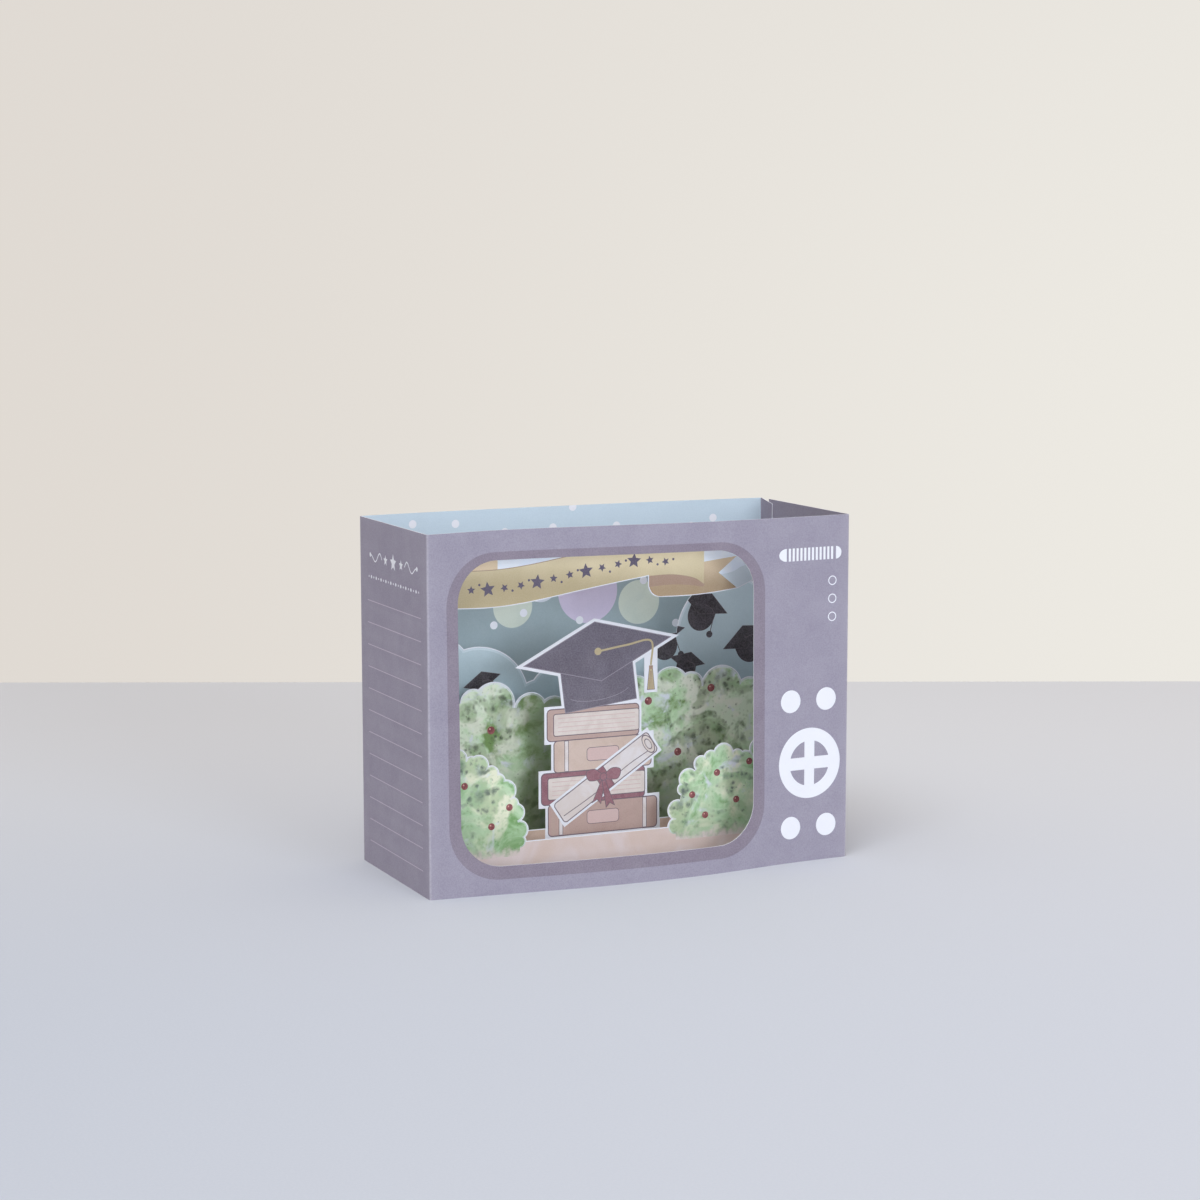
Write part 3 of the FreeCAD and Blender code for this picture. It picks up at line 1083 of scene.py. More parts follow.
def make_piece(name: str, flat: FlatMesh, front: np.ndarray, back: np.ndarray, crease: np.ndarray,
               palette: Palette) -> bpy.types.Object:
    """Closed mesh of a sheet: its printed side, its other side turned over, and a strip along every edge.

    Args:
        name: the piece's name.
        flat: the drawing's triangles.
        front: place of each of its points on the printed side, in millimetres.
        back: place of each on the other side.
        crease: nearness of each to a fold.
        palette: the materials.

    Returns:
        The object, with its place in its mesh.
    """
    count = len(flat.points)
    rim = flat.boundary()
    quads = np.stack([rim[:, 0], rim[:, 0] + count, rim[:, 1] + count, rim[:, 1]], axis=1)
    sides = np.concatenate([flat.triangles, flat.triangles[:, ::-1] + count])
    loops = np.concatenate([sides.ravel(), quads.ravel()])
    totals = np.concatenate([np.full(len(sides), 3), np.full(len(quads), 4)])
    starts = np.concatenate([[0], np.cumsum(totals)[:-1]])
    mesh = bpy.data.meshes.new(name)
    mesh.vertices.add(2 * count)
    mesh.vertices.foreach_set("co", (np.concatenate([front, back]) * MM).astype(np.float32).ravel())
    mesh.loops.add(len(loops))
    mesh.loops.foreach_set("vertex_index", loops.astype(np.int32))
    mesh.polygons.add(len(totals))
    mesh.polygons.foreach_set("loop_start", starts.astype(np.int32))
    inks = np.concatenate([flat.inks[0], flat.inks[1], np.full(len(quads), Ink.BARE.value)])
    used = np.unique(inks)
    for value in used:
        mesh.materials.append(palette.material(Ink(value)))
    mesh.polygons.foreach_set("material_index", np.searchsorted(used, inks).astype(np.int32))
    mesh.polygons.foreach_set("use_smooth", np.ones(len(totals), bool))
    mesh.update(calc_edges=True)
    mesh.set_sharp_from_angle(angle=math.radians(SHARP_DEGREES))
    folds = mesh.attributes.new("crease", "FLOAT", "POINT")
    folds.data.foreach_set("value", np.concatenate([crease, crease]).astype(np.float32))
    drawn = mesh.uv_layers.new(name="drawn")
    places = np.concatenate([flat.points, flat.points])[loops] * MM
    drawn.data.foreach_set("uv", places.astype(np.float32).ravel())
    piece = bpy.data.objects.new(name, mesh)
    bpy.context.scene.collection.objects.link(piece)
    log.info("%s: %d faces, %d inks", name, len(totals), len(used))
    return piece


@dataclass
class Sheet:
    """A sheet of card: drawn flat, printed side up, then folded along its plan and given its thickness."""

    sizes: Sizes
    node: str
    art: Drawing = field(init=False, default_factory=Drawing)
    path: FoldedPath = field(init=False)

    def draw(self) -> None:
        """Draws the sheet laid flat; each sheet draws its own."""
        raise NotImplementedError

    def bow(self, part: np.ndarray, x: np.ndarray, z: np.ndarray) -> np.ndarray:
        """How far each place is pushed back in Y; nothing on a flat sheet."""
        return np.zeros(len(x))

    def folded(self, palette: Palette, card: float, steps: int, fold_pale_reach: float) -> bpy.types.Object:
        """Draws the sheet, folds it and gives it its thickness to the left of its path.

        Args:
            palette: the materials.
            card: the thickness.
            steps: number of strips in each fold.
            fold_pale_reach: how far the paler strip of a fold reaches, worn ink and painted highlight.

        Returns:
            The piece.
        """
        self.draw()
        self.art.guides[:0] = self.path.fold_guides(-GUIDE_OVER, self.sizes.height + GUIDE_OVER, steps)
        flat = self.art.triangulate()
        along, z = flat.points.T
        plan, left, part = self.path.locate(along)
        front = np.column_stack([plan[:, 0], plan[:, 1] + self.bow(part, plan[:, 0], z), z])
        back = front + card * np.column_stack([left, np.zeros(len(z))])
        name = self.node.removeprefix("folded_").replace("_sheet", "_layer")
        return make_piece(name, flat, front, back, self.path.nearness_to_fold(along, fold_pale_reach), palette)


@dataclass
class Sleeve(Sheet):
    """The folded outer sheet: window, screen marks, writing lines, and the sky inside its back panel.

    Marks on the front are placed by their distance from its right edge and by their height.
    """

    front_bow: float = 6.0
    front_wave: float = 3.5
    back_bow: float = 3.0
    bow_stations: tuple[float, ...] = (0.0, 0.16, 0.32, 0.50, 0.68, 0.84, 1.0)
    bottom_share: tuple[float, ...] = (0.0, 0.38, 0.79, 1.0, 0.79, 0.25, 0.0)
    wave_share: tuple[float, ...] = (0.0, -0.97, -0.74, 0.06, 0.57, 0.34, 0.0)
    back_share: tuple[float, ...] = (0.0, 0.62, 0.92, 1.0, 0.92, 0.62, 0.0)
    right_panel_stop: float = 5.9
    flap_depth: float = 9.0
    flap_bevel: float = 1.5
    window_left: float = 11.0
    window_right: float = 37.9
    window_bottom: float = 9.4
    window_top: float = 9.8
    window_radius: float = 14.0
    band: tuple[float, float, float, float] = (4.1, 4.4, 4.4, 2.7)
    band_radius: float = 17.5
    guide_step: float = 4.0
    guide_rise: float = 10.0
    speaker: Pair = (104.9, 109.3)
    speaker_ends: tuple[tuple[float, float, int], ...] = ((25.0, 3.0, 90), (5.4, 2.2, -90))
    bars: int = 12
    bars_start: float = 24.2
    bar_pitch: float = 1.53
    bar_width: float = 0.85
    lamp_side: float = 6.7
    lamp_heights: tuple[float, ...] = (97.5, 91.25, 85.0)
    lamp_radii: Pair = (1.65, 1.3)
    buttons: Pairs = ((23.0, 56.5), (8.8, 56.5), (22.7, 12.3), (8.4, 12.3))
    button_radius: float = 3.95
    dial: Pair = (15.3, 34.5)
    dial_radii: Pair = (12.3, 7.9)
    dial_bars: Pair = (2.0, 2.15)
    dial_overlap: float = 0.5
    writing_ends: Pair = (57.5, 6.0)
    writing_rows: tuple[float, float, int] = (92.1, 8.5, 12)
    writing_width: float = 0.28
    panel_stars: Pairs = ((0.0, 3.0), (-7.5, 1.9), (7.5, 1.9))
    panel_stars_height: float = 107.4
    curl_start: float = 11.0
    curl_length: float = 11.5
    curl_height: float = 107.2
    curl_rise: float = 2.2
    curl_width: float = 0.45
    curl_end: float = 0.8
    dots_each_side: int = 10
    dots_height: float = 100.4
    dots_pitch: float = 2.4
    dots_radii: Pair = (0.38, 0.62)
    sky_inset: float = 0.6
    sky_discs: tuple[tuple[Ink, float, float, float], ...] = (
        (Ink.MINT, -20.0, 85.0, 7.5), (Ink.PEARL, -9.0, 92.0, 6.0), (Ink.LILAC, 9.0, 89.0, 11.5),
        (Ink.MINT, 29.0, 84.0, 8.0), (Ink.LILAC, -62.0, 82.0, 9.0), (Ink.PEARL, 58.0, 92.0, 8.0))
    sky_dots_across: tuple[float, float, float] = (-64.0, 70.0, 18.0)
    sky_dots_up: tuple[float, float, float] = (67.0, 118.0, 12.0)
    sky_dots_scatter: Pair = (7.0, 4.5)
    sky_dots_radius: float = 1.45

    def __post_init__(self) -> None:
        """Works out the folded plan, with the drawn coordinate equal to X on the front panel."""
        s = self.sizes
        r = s.fold_radius
        self.fold_x = s.half - r
        seam = s.inner - s.seat
        self.back_run = seam - r + self.fold_x
        self.side_run = s.depth - 2 * r
        runs = (self.flap_depth - r, self.back_run, self.side_run, 2 * self.fold_x,
                s.depth - self.right_panel_stop - r)
        turn = r * math.pi / 2
        origin = -self.fold_x - sum(runs[:3]) - 3 * turn
        self.path = FoldedPath((seam, s.back_face - self.flap_depth), 90.0, runs, r, 1, origin)
        self.breaks = self.path.breaks()

    def left_panel(self, behind: float) -> float:
        """Drawn coordinate of a place on the left panel, from its distance behind the front face."""
        return self.breaks[5] - (behind - self.sizes.fold_radius)

    def back_panel(self, x: float) -> float:
        """Drawn coordinate of a place on the back panel, from its X."""
        return self.breaks[3] - (x + self.fold_x)

    def window(self, margins: Sequence[float] = (0.0, 0.0, 0.0, 0.0), radius: float = 0.0) -> Points:
        """The window's outline, or one around it.

        Args:
            margins: how far it lies outside the window at the left, right, bottom and top.
            radius: of its corners, or 0 for the window's own.

        Returns:
            Array of (x, z) rows.
        """
        s = self.sizes
        return rounded_box(self.window_left - s.half - margins[0], self.window_bottom - margins[2],
                           s.half - self.window_right + margins[1], s.height - self.window_top + margins[3],
                           radius or self.window_radius, 16)

    def draw(self) -> None:
        """Cuts the outline and the window, and paints the front, the left panel and the inside."""
        s, art = self.sizes, self.art
        start, flap_fold, end = self.breaks[0], self.breaks[1], self.breaks[-1]
        outline = np.array([(start, self.flap_bevel), (flap_fold, 0.0), (end, 0.0), (end, s.height),
                            (flap_fold, s.height), (start, s.height - self.flap_bevel)])
        art.cuts.append(outline)
        art.holes.append(self.window())
        art.fill(Ink.PURPLE, grow(outline, BLEED))
        art.fill(Ink.BAND, self.window(self.band, self.band_radius))
        self.draw_controls()
        self.draw_left_panel()
        self.draw_inside()
        self.add_guides()

    def draw_controls(self) -> None:
        """White marks on the right of the front: a slotted speaker, three lamps, four buttons and a dial."""
        right, art = self.sizes.half, self.art
        low, high = self.speaker
        middle, half = (low + high) / 2, (high - low) / 2
        for side, reach, start in self.speaker_ends:
            art.fill(Ink.WHITE, arc(right - side, middle, reach, half, start, start + 180, 20))
        for k in range(self.bars):
            x = right - self.bars_start + self.bar_pitch * k
            art.fill(Ink.WHITE, box(x, low, x + self.bar_width, high))
        for z in self.lamp_heights:
            for ink, radius in zip((Ink.WHITE, Ink.PURPLE), self.lamp_radii):
                art.fill(ink, disc(right - self.lamp_side, z, radius, 32))
        for side, z in self.buttons:
            art.fill(Ink.WHITE, disc(right - side, z, self.button_radius, 48))
        x, z = right - self.dial[0], self.dial[1]
        ring, hub = self.dial_radii
        art.fill(Ink.WHITE, disc(x, z, ring, 72))
        art.fill(Ink.PURPLE, disc(x, z, hub, 60))
        reach = hub + self.dial_overlap
        for half_w, half_h in ((self.dial_bars[0], reach), (reach, self.dial_bars[1])):
            art.fill(Ink.WHITE, box(x - half_w, z - half_h, x + half_w, z + half_h))

    def draw_left_panel(self) -> None:
        """Twelve writing lines under a small ornament of stars, a curled rule and a row of dots."""
        art = self.art
        first, last = (self.left_panel(behind) for behind in self.writing_ends)
        half = self.writing_width / 2
        for z in np.linspace(*self.writing_rows):
            art.fill(Ink.RULE, box(first, z - half, last, z + half))
        middle = (first + last) / 2
        for shift, radius in self.panel_stars:
            art.fill(Ink.WHITE, star(middle + shift, self.panel_stars_height, radius))
        sweep = np.linspace(0, 1, 30)
        for sense in (-1, 1):
            x = middle + sense * (self.curl_start + self.curl_length * sweep)
            z = self.curl_height + self.curl_rise * np.sin(2.5 * math.pi * sweep) * (1 - 0.7 * sweep)
            art.line(Ink.WHITE, np.stack([x, z], axis=1), self.curl_width)
            art.fill(Ink.WHITE, disc(x[-1], z[-1], self.curl_end, 16))
        for k in range(-self.dots_each_side, self.dots_each_side + 1):
            x = middle + self.dots_pitch * k
            art.fill(Ink.WHITE, disc(x, self.dots_height, self.dots_radii[k % 2], 14))

    def draw_inside(self) -> None:
        """Purple-grey inside the front and sides, and sky with dots and discs inside the back."""
        art, b, top = self.art, self.breaks, self.sizes.height + BLEED
        art.fill_inside(Ink.INSIDE, box(b[0] - BLEED, -BLEED, b[-1] + BLEED, top))
        art.fill_inside(Ink.SKY, box(b[1] + self.sky_inset, -BLEED, b[4] - self.sky_inset, top))
        for ink, x, z, radius in self.sky_discs:
            art.fill_inside(ink, disc(self.back_panel(x), z, radius, 64))
        chance = np.random.default_rng(11)
        for x, z in itertools.product(np.arange(*self.sky_dots_across), np.arange(*self.sky_dots_up)):
            shift = chance.uniform(-1, 1, 2) * self.sky_dots_scatter
            dot = disc(self.back_panel(x + shift[0]), z + shift[1], self.sky_dots_radius, 24)
            art.fill_inside(Ink.WHITE, dot)

    def add_guides(self) -> None:
        """Lines up and across that let the bowed panels curve."""
        low, high = -GUIDE_OVER, self.sizes.height + GUIDE_OVER
        for a, b in ((2, 3), (6, 7)):
            count = int((self.breaks[b] - self.breaks[a]) / self.guide_step)
            for u in np.linspace(self.breaks[a], self.breaks[b], count + 1)[1:-1]:
                self.art.guides.append(np.array([(u, low), (u, high)]))
        ends = (self.breaks[0] - BLEED, self.breaks[-1] + BLEED)
        for z in np.arange(self.guide_rise, self.sizes.height, self.guide_rise):
            self.art.guides.append(np.array([(ends[0], z), (ends[1], z)]))

    def bow(self, part: np.ndarray, x: np.ndarray, z: np.ndarray) -> np.ndarray:
        """How far each place is pushed back in Y: a blend by height of the bottom and top edges' curves.

        Args:
            part: number of each place's run.
            x, z: its position.

        Returns:
            Shifts in Y.
        """
        s = self.sizes
        rise = z / s.height
        front = (x + self.fold_x) / (2 * self.fold_x)
        bottom = -self.front_bow * cubic(self.bow_stations, self.bottom_share, front)
        top = -self.front_wave * cubic(self.bow_stations, self.wave_share, front)
        back = self.back_bow * cubic(self.bow_stations, self.back_share, (x + self.fold_x) / self.back_run)
        return np.where(part == 6, bottom + (top - bottom) * rise, 0) + np.where(part == 2, back, 0)

    def build(self, palette: Palette) -> bpy.types.Object:
        """Makes the sleeve."""
        return self.folded(palette, self.sizes.card, steps=6, fold_pale_reach=0.45)


@dataclass
class InnerSheet(Sheet):
    """A die-cut sheet between the side panels, with a glue tab folded forward at each end."""

    tab_height: float
    tab_overlap: float = 1.0
    end_share: float = 1.2
    berries: Pairs = ()
    berry: float = 1.2
    berry_shine: tuple[float, float, float] = (-0.35, 0.4, 0.28)

    def __post_init__(self) -> None:
        """Works out the folded plan, with the drawn coordinate equal to X on the flat of the sheet."""
        s = self.sizes
        self.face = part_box(self.node)[1].y / MM - s.sheet
        self.radius = s.sheet_fold_radius - s.sheet
        self.wall = s.inner - s.seat
        self.flat_end = self.wall - s.sheet_fold_radius
        tab = s.tab_depth + s.sheet - s.sheet_fold_radius
        turn = self.radius * math.pi / 2
        self.strip_end = self.flat_end + turn + tab
        start = (s.sheet - self.wall, self.face - s.tab_depth)
        self.path = FoldedPath(start, 90.0, (tab, 2 * self.flat_end, tab), self.radius, -1, -self.strip_end)

    @property
    def left(self) -> float:
        """Inner face of the left panel."""
        return -self.sizes.inner

    @property
    def right(self) -> float:
        """Inner face of the right panel."""
        return self.sizes.inner

    @property
    def low(self) -> float:
        """Bottom edge of the sheet."""
        return self.sizes.sheet_lift

    def cut_tabs(self) -> None:
        """Cuts the two tabs with their free corners clipped, and the sheet's ends that they join."""
        low, top, bevel = self.low, self.tab_height, self.sizes.tab_bevel
        for sense in (-1, 1):
            join, end = sense * (self.flat_end - self.tab_overlap), sense * self.strip_end
            clipped = end - sense * bevel
            self.art.cuts.append(np.array([(join, low), (clipped, low), (end, low + bevel),
                                           (end, top - bevel), (clipped, top), (join, top)]))

    def cut_strip(self, ink: Ink, height: float) -> None:
        """Cuts a straight strip along the bottom, and the tabs, and paints it up to its bare edge.

        Args:
            ink: its ink.
            height: its upper edge.
        """
        self.art.cuts.append(box(-self.flat_end, self.low, self.flat_end, height))
        self.cut_tabs()
        end = self.strip_end + BLEED
        self.art.fill(ink, box(-end, self.low - BLEED, end, height - self.sizes.bare_edge))

    def lobe_row(self, radius: float, share: np.ndarray, height: np.ndarray, corners: int) -> Lobes:
        """Lobes in a row across the sheet.

        Args:
            radius: their mean radius.
            share: where they stand, from 0 at the left to 1 at the right.
            height: how high each stands.
            corners: points around each.

        Returns:
            The lobes, with a core that reaches down to the sheet's bottom edge.
        """
        first, last = self.left + self.end_share * radius, self.right - self.end_share * radius
        middles = np.stack([first + share * (last - first), height], axis=1)
        core = np.concatenate([[(first, self.low)], middles, [(last, self.low)]])
        return Lobes(core, middles, radius, corners)

    def cut_lobes(self, lobes: Lobes, rim: float, rim_ink: Ink, ink: Ink) -> None:
        """Cuts a core with its lobes, and paints them inside a bare edge.

        Args:
            lobes: the core and its lobes.
            rim: width of the paler rim, with the bare edge.
            rim_ink, ink: of the rim and of the rest.
        """
        self.art.cuts += [lobes.core, *lobes.discs()]
        self.art.fill(rim_ink, *lobes.discs(self.sizes.bare_edge))
        self.art.fill(ink, lobes.core, *lobes.discs(rim))

    def draw_berries(self) -> None:
        """Round berries, each with a small shine at its upper left."""
        right, up, shine = self.berry_shine
        for x, z in self.berries:
            self.art.fill(Ink.BERRY, disc(x, z, self.berry, 20))
            self.art.fill(Ink.BERRY_SHINE, disc(x + right, z + up, shine, 12))

    def build(self, palette: Palette) -> bpy.types.Object:
        """Makes the sheet."""
        return self.folded(palette, self.sizes.sheet, steps=4, fold_pale_reach=0.4)


@dataclass
class CloudSheet(InnerSheet):
    """Large round clouds, high at both sides, with small tossed caps printed on them."""

    valley: float = 49.0
    side_rise: float = 19.0
    slope: float = 5.0
    lobe: float = 16.5
    lobes: int = 7
    rim: float = 1.1
    caps: tuple[tuple[float, float, float, float], ...] = (
        (-58.0, 71.0, 15.0, -16.0), (-38.0, 62.0, 14.0, 18.0), (31.0, 74.0, 18.0, 14.0),
        (48.0, 84.0, 19.0, -22.0), (64.0, 71.0, 18.5, 26.0), (41.0, 64.0, 14.0, -12.0))

    def draw(self) -> None:
        """Clouds as overlapping discs over a core, straight ends beside them, and the caps."""
        share = staggered(self.lobes)
        side = 2 * share - 1
        height = self.valley + self.side_rise * side ** 2 + self.slope * side
        lobes = self.lobe_row(self.lobe, share, height, 96)
        self.cut_lobes(lobes, self.rim, Ink.CLOUD_RIM, Ink.CLOUD)
        first, last = lobes.core[0, 0], lobes.core[-1, 0]
        low, top, end = self.low, self.tab_height, self.strip_end + BLEED
        self.art.cuts += [box(-self.flat_end, low, first, top), box(last, low, self.flat_end, top)]
        self.cut_tabs()
        top -= self.sizes.bare_edge
        self.art.fill(Ink.CLOUD, box(-end, low, first, top), box(last, low, end, top))
        for cap in self.caps:
            self.draw_small_cap(*cap)

    def draw_small_cap(self, x: float, z: float, width: float, degrees: float) -> None:
        """A tossed graduate's cap: crown, board, cord and tassel, drawn in half widths around its middle.

        Args:
            x, z: middle of its board.
            width: the board's width.
            degrees: its tilt.
        """
        crown = np.concatenate([[(-0.55, 0.0)], arc(0.0, -0.42, 0.56, 0.62, 180, 360, 20), [(0.55, 0.0)]])
        board = np.array([(-1.0, 0.05), (-0.1, -0.42), (1.0, -0.02), (0.12, 0.46)])
        cord = smooth([(0.0, 0.0), (0.45, -0.16), (0.6, -0.9)], 8)
        tassel = disc(0.6, -1.0, 0.13, 16)
        crown, board, cord, tassel = ((x, z) + width / 2 * part for part in (crown, board, cord, tassel))
        for ink, part in ((Ink.SMALL_CAP, crown), (Ink.SMALL_CAP_EDGE, grow(board, 0.12)),
                          (Ink.SMALL_CAP, grow(board, -0.05)), (Ink.SMALL_CAP_EDGE, stroke(cord, 0.3)),
                          (Ink.SMALL_CAP, tassel)):
            self.art.fill(ink, turned(part, x, z, degrees))


@dataclass
class HedgeSheet(InnerSheet):
    """A hedge across the whole width with a scalloped top."""

    top: float = 54.5
    swell: float = 3.0
    swells: float = 1.6
    swell_start: float = 0.08
    lobe: float = 6.6
    lobes: int = 14
    rim: float = 0.95
    berries: Pairs = ((19.5, 53.0), (-40.0, 47.0), (44.0, 56.0), (31.0, 34.0))
    berry: float = 1.4
    berry_shine: tuple[float, float, float] = (-0.4, 0.5, 0.32)

    def draw(self) -> None:
        """Hedge as a row of discs over a core, on a straight strip, with a few berries."""
        share = staggered(self.lobes)
        turns = self.swells * share + self.swell_start
        height = self.top + self.swell * np.sin(2 * math.pi * turns)
        self.cut_lobes(self.lobe_row(self.lobe, share, height, 56), self.rim, Ink.HEDGE_RIM, Ink.HEDGE)
        self.cut_strip(Ink.HEDGE, self.tab_height)
        self.draw_berries()


@dataclass
class FigureSheet(InnerSheet):
    """A strip of ground with a stack of books, a graduate's cap and a tied scroll as one cut-out."""

    ground: float = 14.0
    from_left: float = 71.5
    border: float = 1.0
    book_base: float = 11.0
    book_length: float = 41.0
    book_thickness: float = 11.0
    book_count: int = 4
    book_stagger: float = 1.8
    book_taper: float = 2.2
    band_width: float = 27.0
    band_height: float = 13.0
    board_width: float = 56.0
    board_height: float = 21.0
    overlap: float = 4.5
    tilt: float = 7.0
    tassel_reach: float = 20.0
    tassel_width: float = 3.0
    tassel_length: float = 17.0
    scroll_length: float = 42.0
    scroll_diameter: float = 8.0
    scroll_tilt: float = 33.0
    scroll_shift: float = 3.0
    scroll_height: float = 30.0
    covers: tuple[Ink, ...] = (Ink.BROWN, Ink.WINE, Ink.TAN, Ink.BROWN)
    cover_corner: float = 1.4
    cover_line: float = 0.35
    spine_bands: Pair = (4.0, 5.4)
    spine_band_width: float = 1.4
    label_reach: float = 6.0
    label_margin: float = 3.2
    label_corner: float = 1.2
    pages_start: float = 2.4
    pages_margin: float = 1.7
    pages_corner: float = 0.8
    page_lines: int = 4
    page_line_width: float = 0.22
    board_line: float = 0.28
    brim_height: float = 5.6
    brim_radii: Pair = (0.43, 3.4)
    brim_angles: Pair = (200, 340)
    button: float = 1.3
    cord_bend: Pair = (0.55, 1.6)
    cord_width: float = 0.7
    cord_end: float = 8.5
    brush: Pairs = ((-0.55, 8.2), (0.55, 8.2), (1.4, 0.0), (-1.4, 0.0))
    threads: tuple[float, ...] = (-0.6, 0.0, 0.6)
    binding: tuple[float, float, float] = (0.75, 7.2, 8.4)
    scroll_corner: float = 1.2
    scroll_turns: tuple[tuple[float, Ink], ...] = (
        (1.0, Ink.LINE), (0.88, Ink.PAGES), (0.58, Ink.LINE), (0.48, Ink.CREAM))
    scroll_end: float = 1.9
    wrap: Pair = (3.2, 1.2)
    tie_line: float = 0.25
    tie_loop: Pairs = ((0.0, 0.0), (3.0, 3.0), (6.4, 2.4), (5.2, -0.8))
    tie_drops: Pair = (8.5, 10.0)

    def __post_init__(self) -> None:
        """Works out where the stack of books and the cap stand."""
        super().__post_init__()
        self.centre = self.left + self.from_left
        self.stack_top = self.book_base + self.book_thickness * self.book_count
        self.board_z = self.stack_top + self.band_height - self.overlap + self.board_height / 2
        self.scroll_middle = (self.centre + self.scroll_shift, self.scroll_height)

    def draw(self) -> None:
        """The strip of ground, and the figure with a bare border around it."""
        art = self.art
        self.cut_strip(Ink.GROUND_BACK, self.ground)
        books = [self.book_box(k) for k in range(self.book_count)]
        band, board, tassel = self.band_outline(), self.board_outline(0.0), self.tassel_box()
        scroll = self.laid(self.scroll_box())
        art.cuts += [grow(book, self.border) for book in books]
        art.cuts += [grow(band, self.border), self.board_outline(self.border), grow(tassel, self.border),
                     grow(scroll, self.border)]
        art.fill(Ink.BARE, *[grow(book, self.border + 0.2) for book in books])
        self.draw_books(books)
        self.draw_cap(band, board, tassel)
        art.fill(Ink.BARE, grow(scroll, self.border))
        self.draw_scroll()

    def book_box(self, number: int) -> Points:
        """Outline of one book of the stack, seen from its side.

        Args:
            number: its place in the stack, 0 at the bottom.

        Returns:
            Its four corners, anticlockwise from the lower left.
        """
        middle = self.centre + self.book_stagger * math.cos(math.pi * number)
        half = (self.book_length - self.book_taper * number) / 2
        base = self.book_base + self.book_thickness * number
        return box(middle - half, base, middle + half, base + self.book_thickness)

    def band_outline(self) -> Points:
        """Works out the outline of the cap's crown under its board.

        Returns:
            Its four corners, anticlockwise from the lower left.
        """
        x, middle = self.centre, (self.stack_top + self.board_z) / 2
        half_w, half_h = self.band_width / 2, (self.board_z - self.stack_top) / 2
        return turned(box(x - half_w, middle - half_h, x + half_w, middle + half_h), x, middle, self.tilt)

    def board_outline(self, border: float) -> Points:
        """The cap's board, a diamond, with an even border around it.

        Args:
            border: its width.

        Returns:
            The four tips, anticlockwise from the right.
        """
        half_w, half_h = self.board_width / 2, self.board_height / 2
        side = math.hypot(half_w, half_h)
        reach = half_w + border * side / half_h
        rise = half_h + border * side / half_w
        diamond = np.array([(reach, 0), (0, rise), (-reach, 0), (0, -rise)]) + (self.centre, self.board_z)
        return turned(diamond, self.centre, self.board_z, self.tilt)

    def tassel_box(self) -> Points:
        """Works out the outline of the tassel and its cord, hanging from the board's edge.

        Returns:
            Its four corners, anticlockwise from the lower left.
        """
        top = self.board_z + self.tassel_reach * math.sin(math.radians(self.tilt))
        x = self.centre + self.tassel_reach
        return box(x - self.tassel_width / 2, top - self.tassel_length, x + self.tassel_width / 2, top)

    def scroll_box(self) -> Points:
        """The rolled sheet's outline before it is tilted."""
        (x, z), half_l, half_d = self.scroll_middle, self.scroll_length / 2, self.scroll_diameter / 2
        return box(x - half_l, z - half_d, x + half_l, z + half_d)

    def laid(self, outline: Points) -> Points:
        """An outline drawn on the level scroll, tilted with it."""
        return turned(outline, *self.scroll_middle, self.scroll_tilt)

    def draw_books(self, books: list[Points]) -> None:
        """Spines with bands, and books that show their pages, one on another.

        Args:
            books: their outlines.
        """
        art = self.art
        for number, (book, cover) in enumerate(zip(books, self.covers)):
            (x1, z1), (x2, z2) = book[0], book[2]
            art.outlined(cover, rounded_box(x1, z1, x2, z2, self.cover_corner, 6), self.cover_line)
            low, high = z1 + self.label_margin, z2 - self.label_margin
            if number % 2 == 0:
                for x in (x1 + self.spine_bands[0], x2 - self.spine_bands[1]):
                    art.outlined(Ink.CREAM, box(x, z1 + 0.2, x + self.spine_band_width, z2 - 0.2))
                middle, reach = (x1 + x2) / 2, self.label_reach
                label = rounded_box(middle - reach, low, middle + reach, high, self.label_corner, 5)
                art.outlined(Ink.BLUSH, label)
            else:
                pages = rounded_box(x1 + self.pages_start, z1 + self.pages_margin, x2 + 0.1,
                                    z2 - self.pages_margin, self.pages_corner, 5)
                art.outlined(Ink.PAGES, pages, 0.3)
                for z in np.linspace(low, high, self.page_lines):
                    art.line(Ink.BLUSH, np.array([(x1 + 4.0, z), (x2 - 1.5, z)]), self.page_line_width)

    def draw_cap(self, band: Points, board: Points, tassel: Points) -> None:
        """Crown, board with a lighter line around it, button, cord and tassel.

        Args:
            band, board, tassel: their outlines.
        """
        art = self.art
        art.fill(Ink.CAP_LINE, grow(band, 0.1))
        art.fill(Ink.CAP, grow(band, -0.15))
        base_x, base_z = (band[0] + band[1]) / 2
        share, rise = self.brim_radii
        brim = arc(base_x, base_z + self.brim_height, share * self.band_width, rise, *self.brim_angles, 24)
        art.fill(Ink.CAP_LINE, turned(stroke(brim, 0.2), base_x, base_z, self.tilt))
        art.fill(Ink.CAP_LINE, board)
        art.fill(Ink.CAP, grow(board, -self.board_line))
        x, z = self.centre, self.board_z
        hang_x, hang_z = (tassel[0] + tassel[1]) / 2
        top = (tassel[2] + tassel[3]) / 2
        share, rise = self.cord_bend
        bend = (x + share * self.tassel_reach, z + rise)
        cord = [(x, z), bend, tuple(top), (hang_x, hang_z + self.cord_end)]
        art.line(Ink.RIBBON, smooth(cord, 10), self.cord_width)
        art.fill(Ink.RIBBON, disc(x, z, self.button, 24))
        art.outlined(Ink.RIBBON, np.array(self.brush) + (hang_x, hang_z))
        for shift in self.threads:
            thread = np.array([(hang_x + 0.4 * shift, hang_z + 6.5), (hang_x + shift, hang_z)])
            art.line(Ink.RIBBON_SHADE, thread, 0.18)
        half, low, high = self.binding
        art.fill(Ink.RIBBON_SHADE, box(hang_x - half, hang_z + low, hang_x + half, hang_z + high))

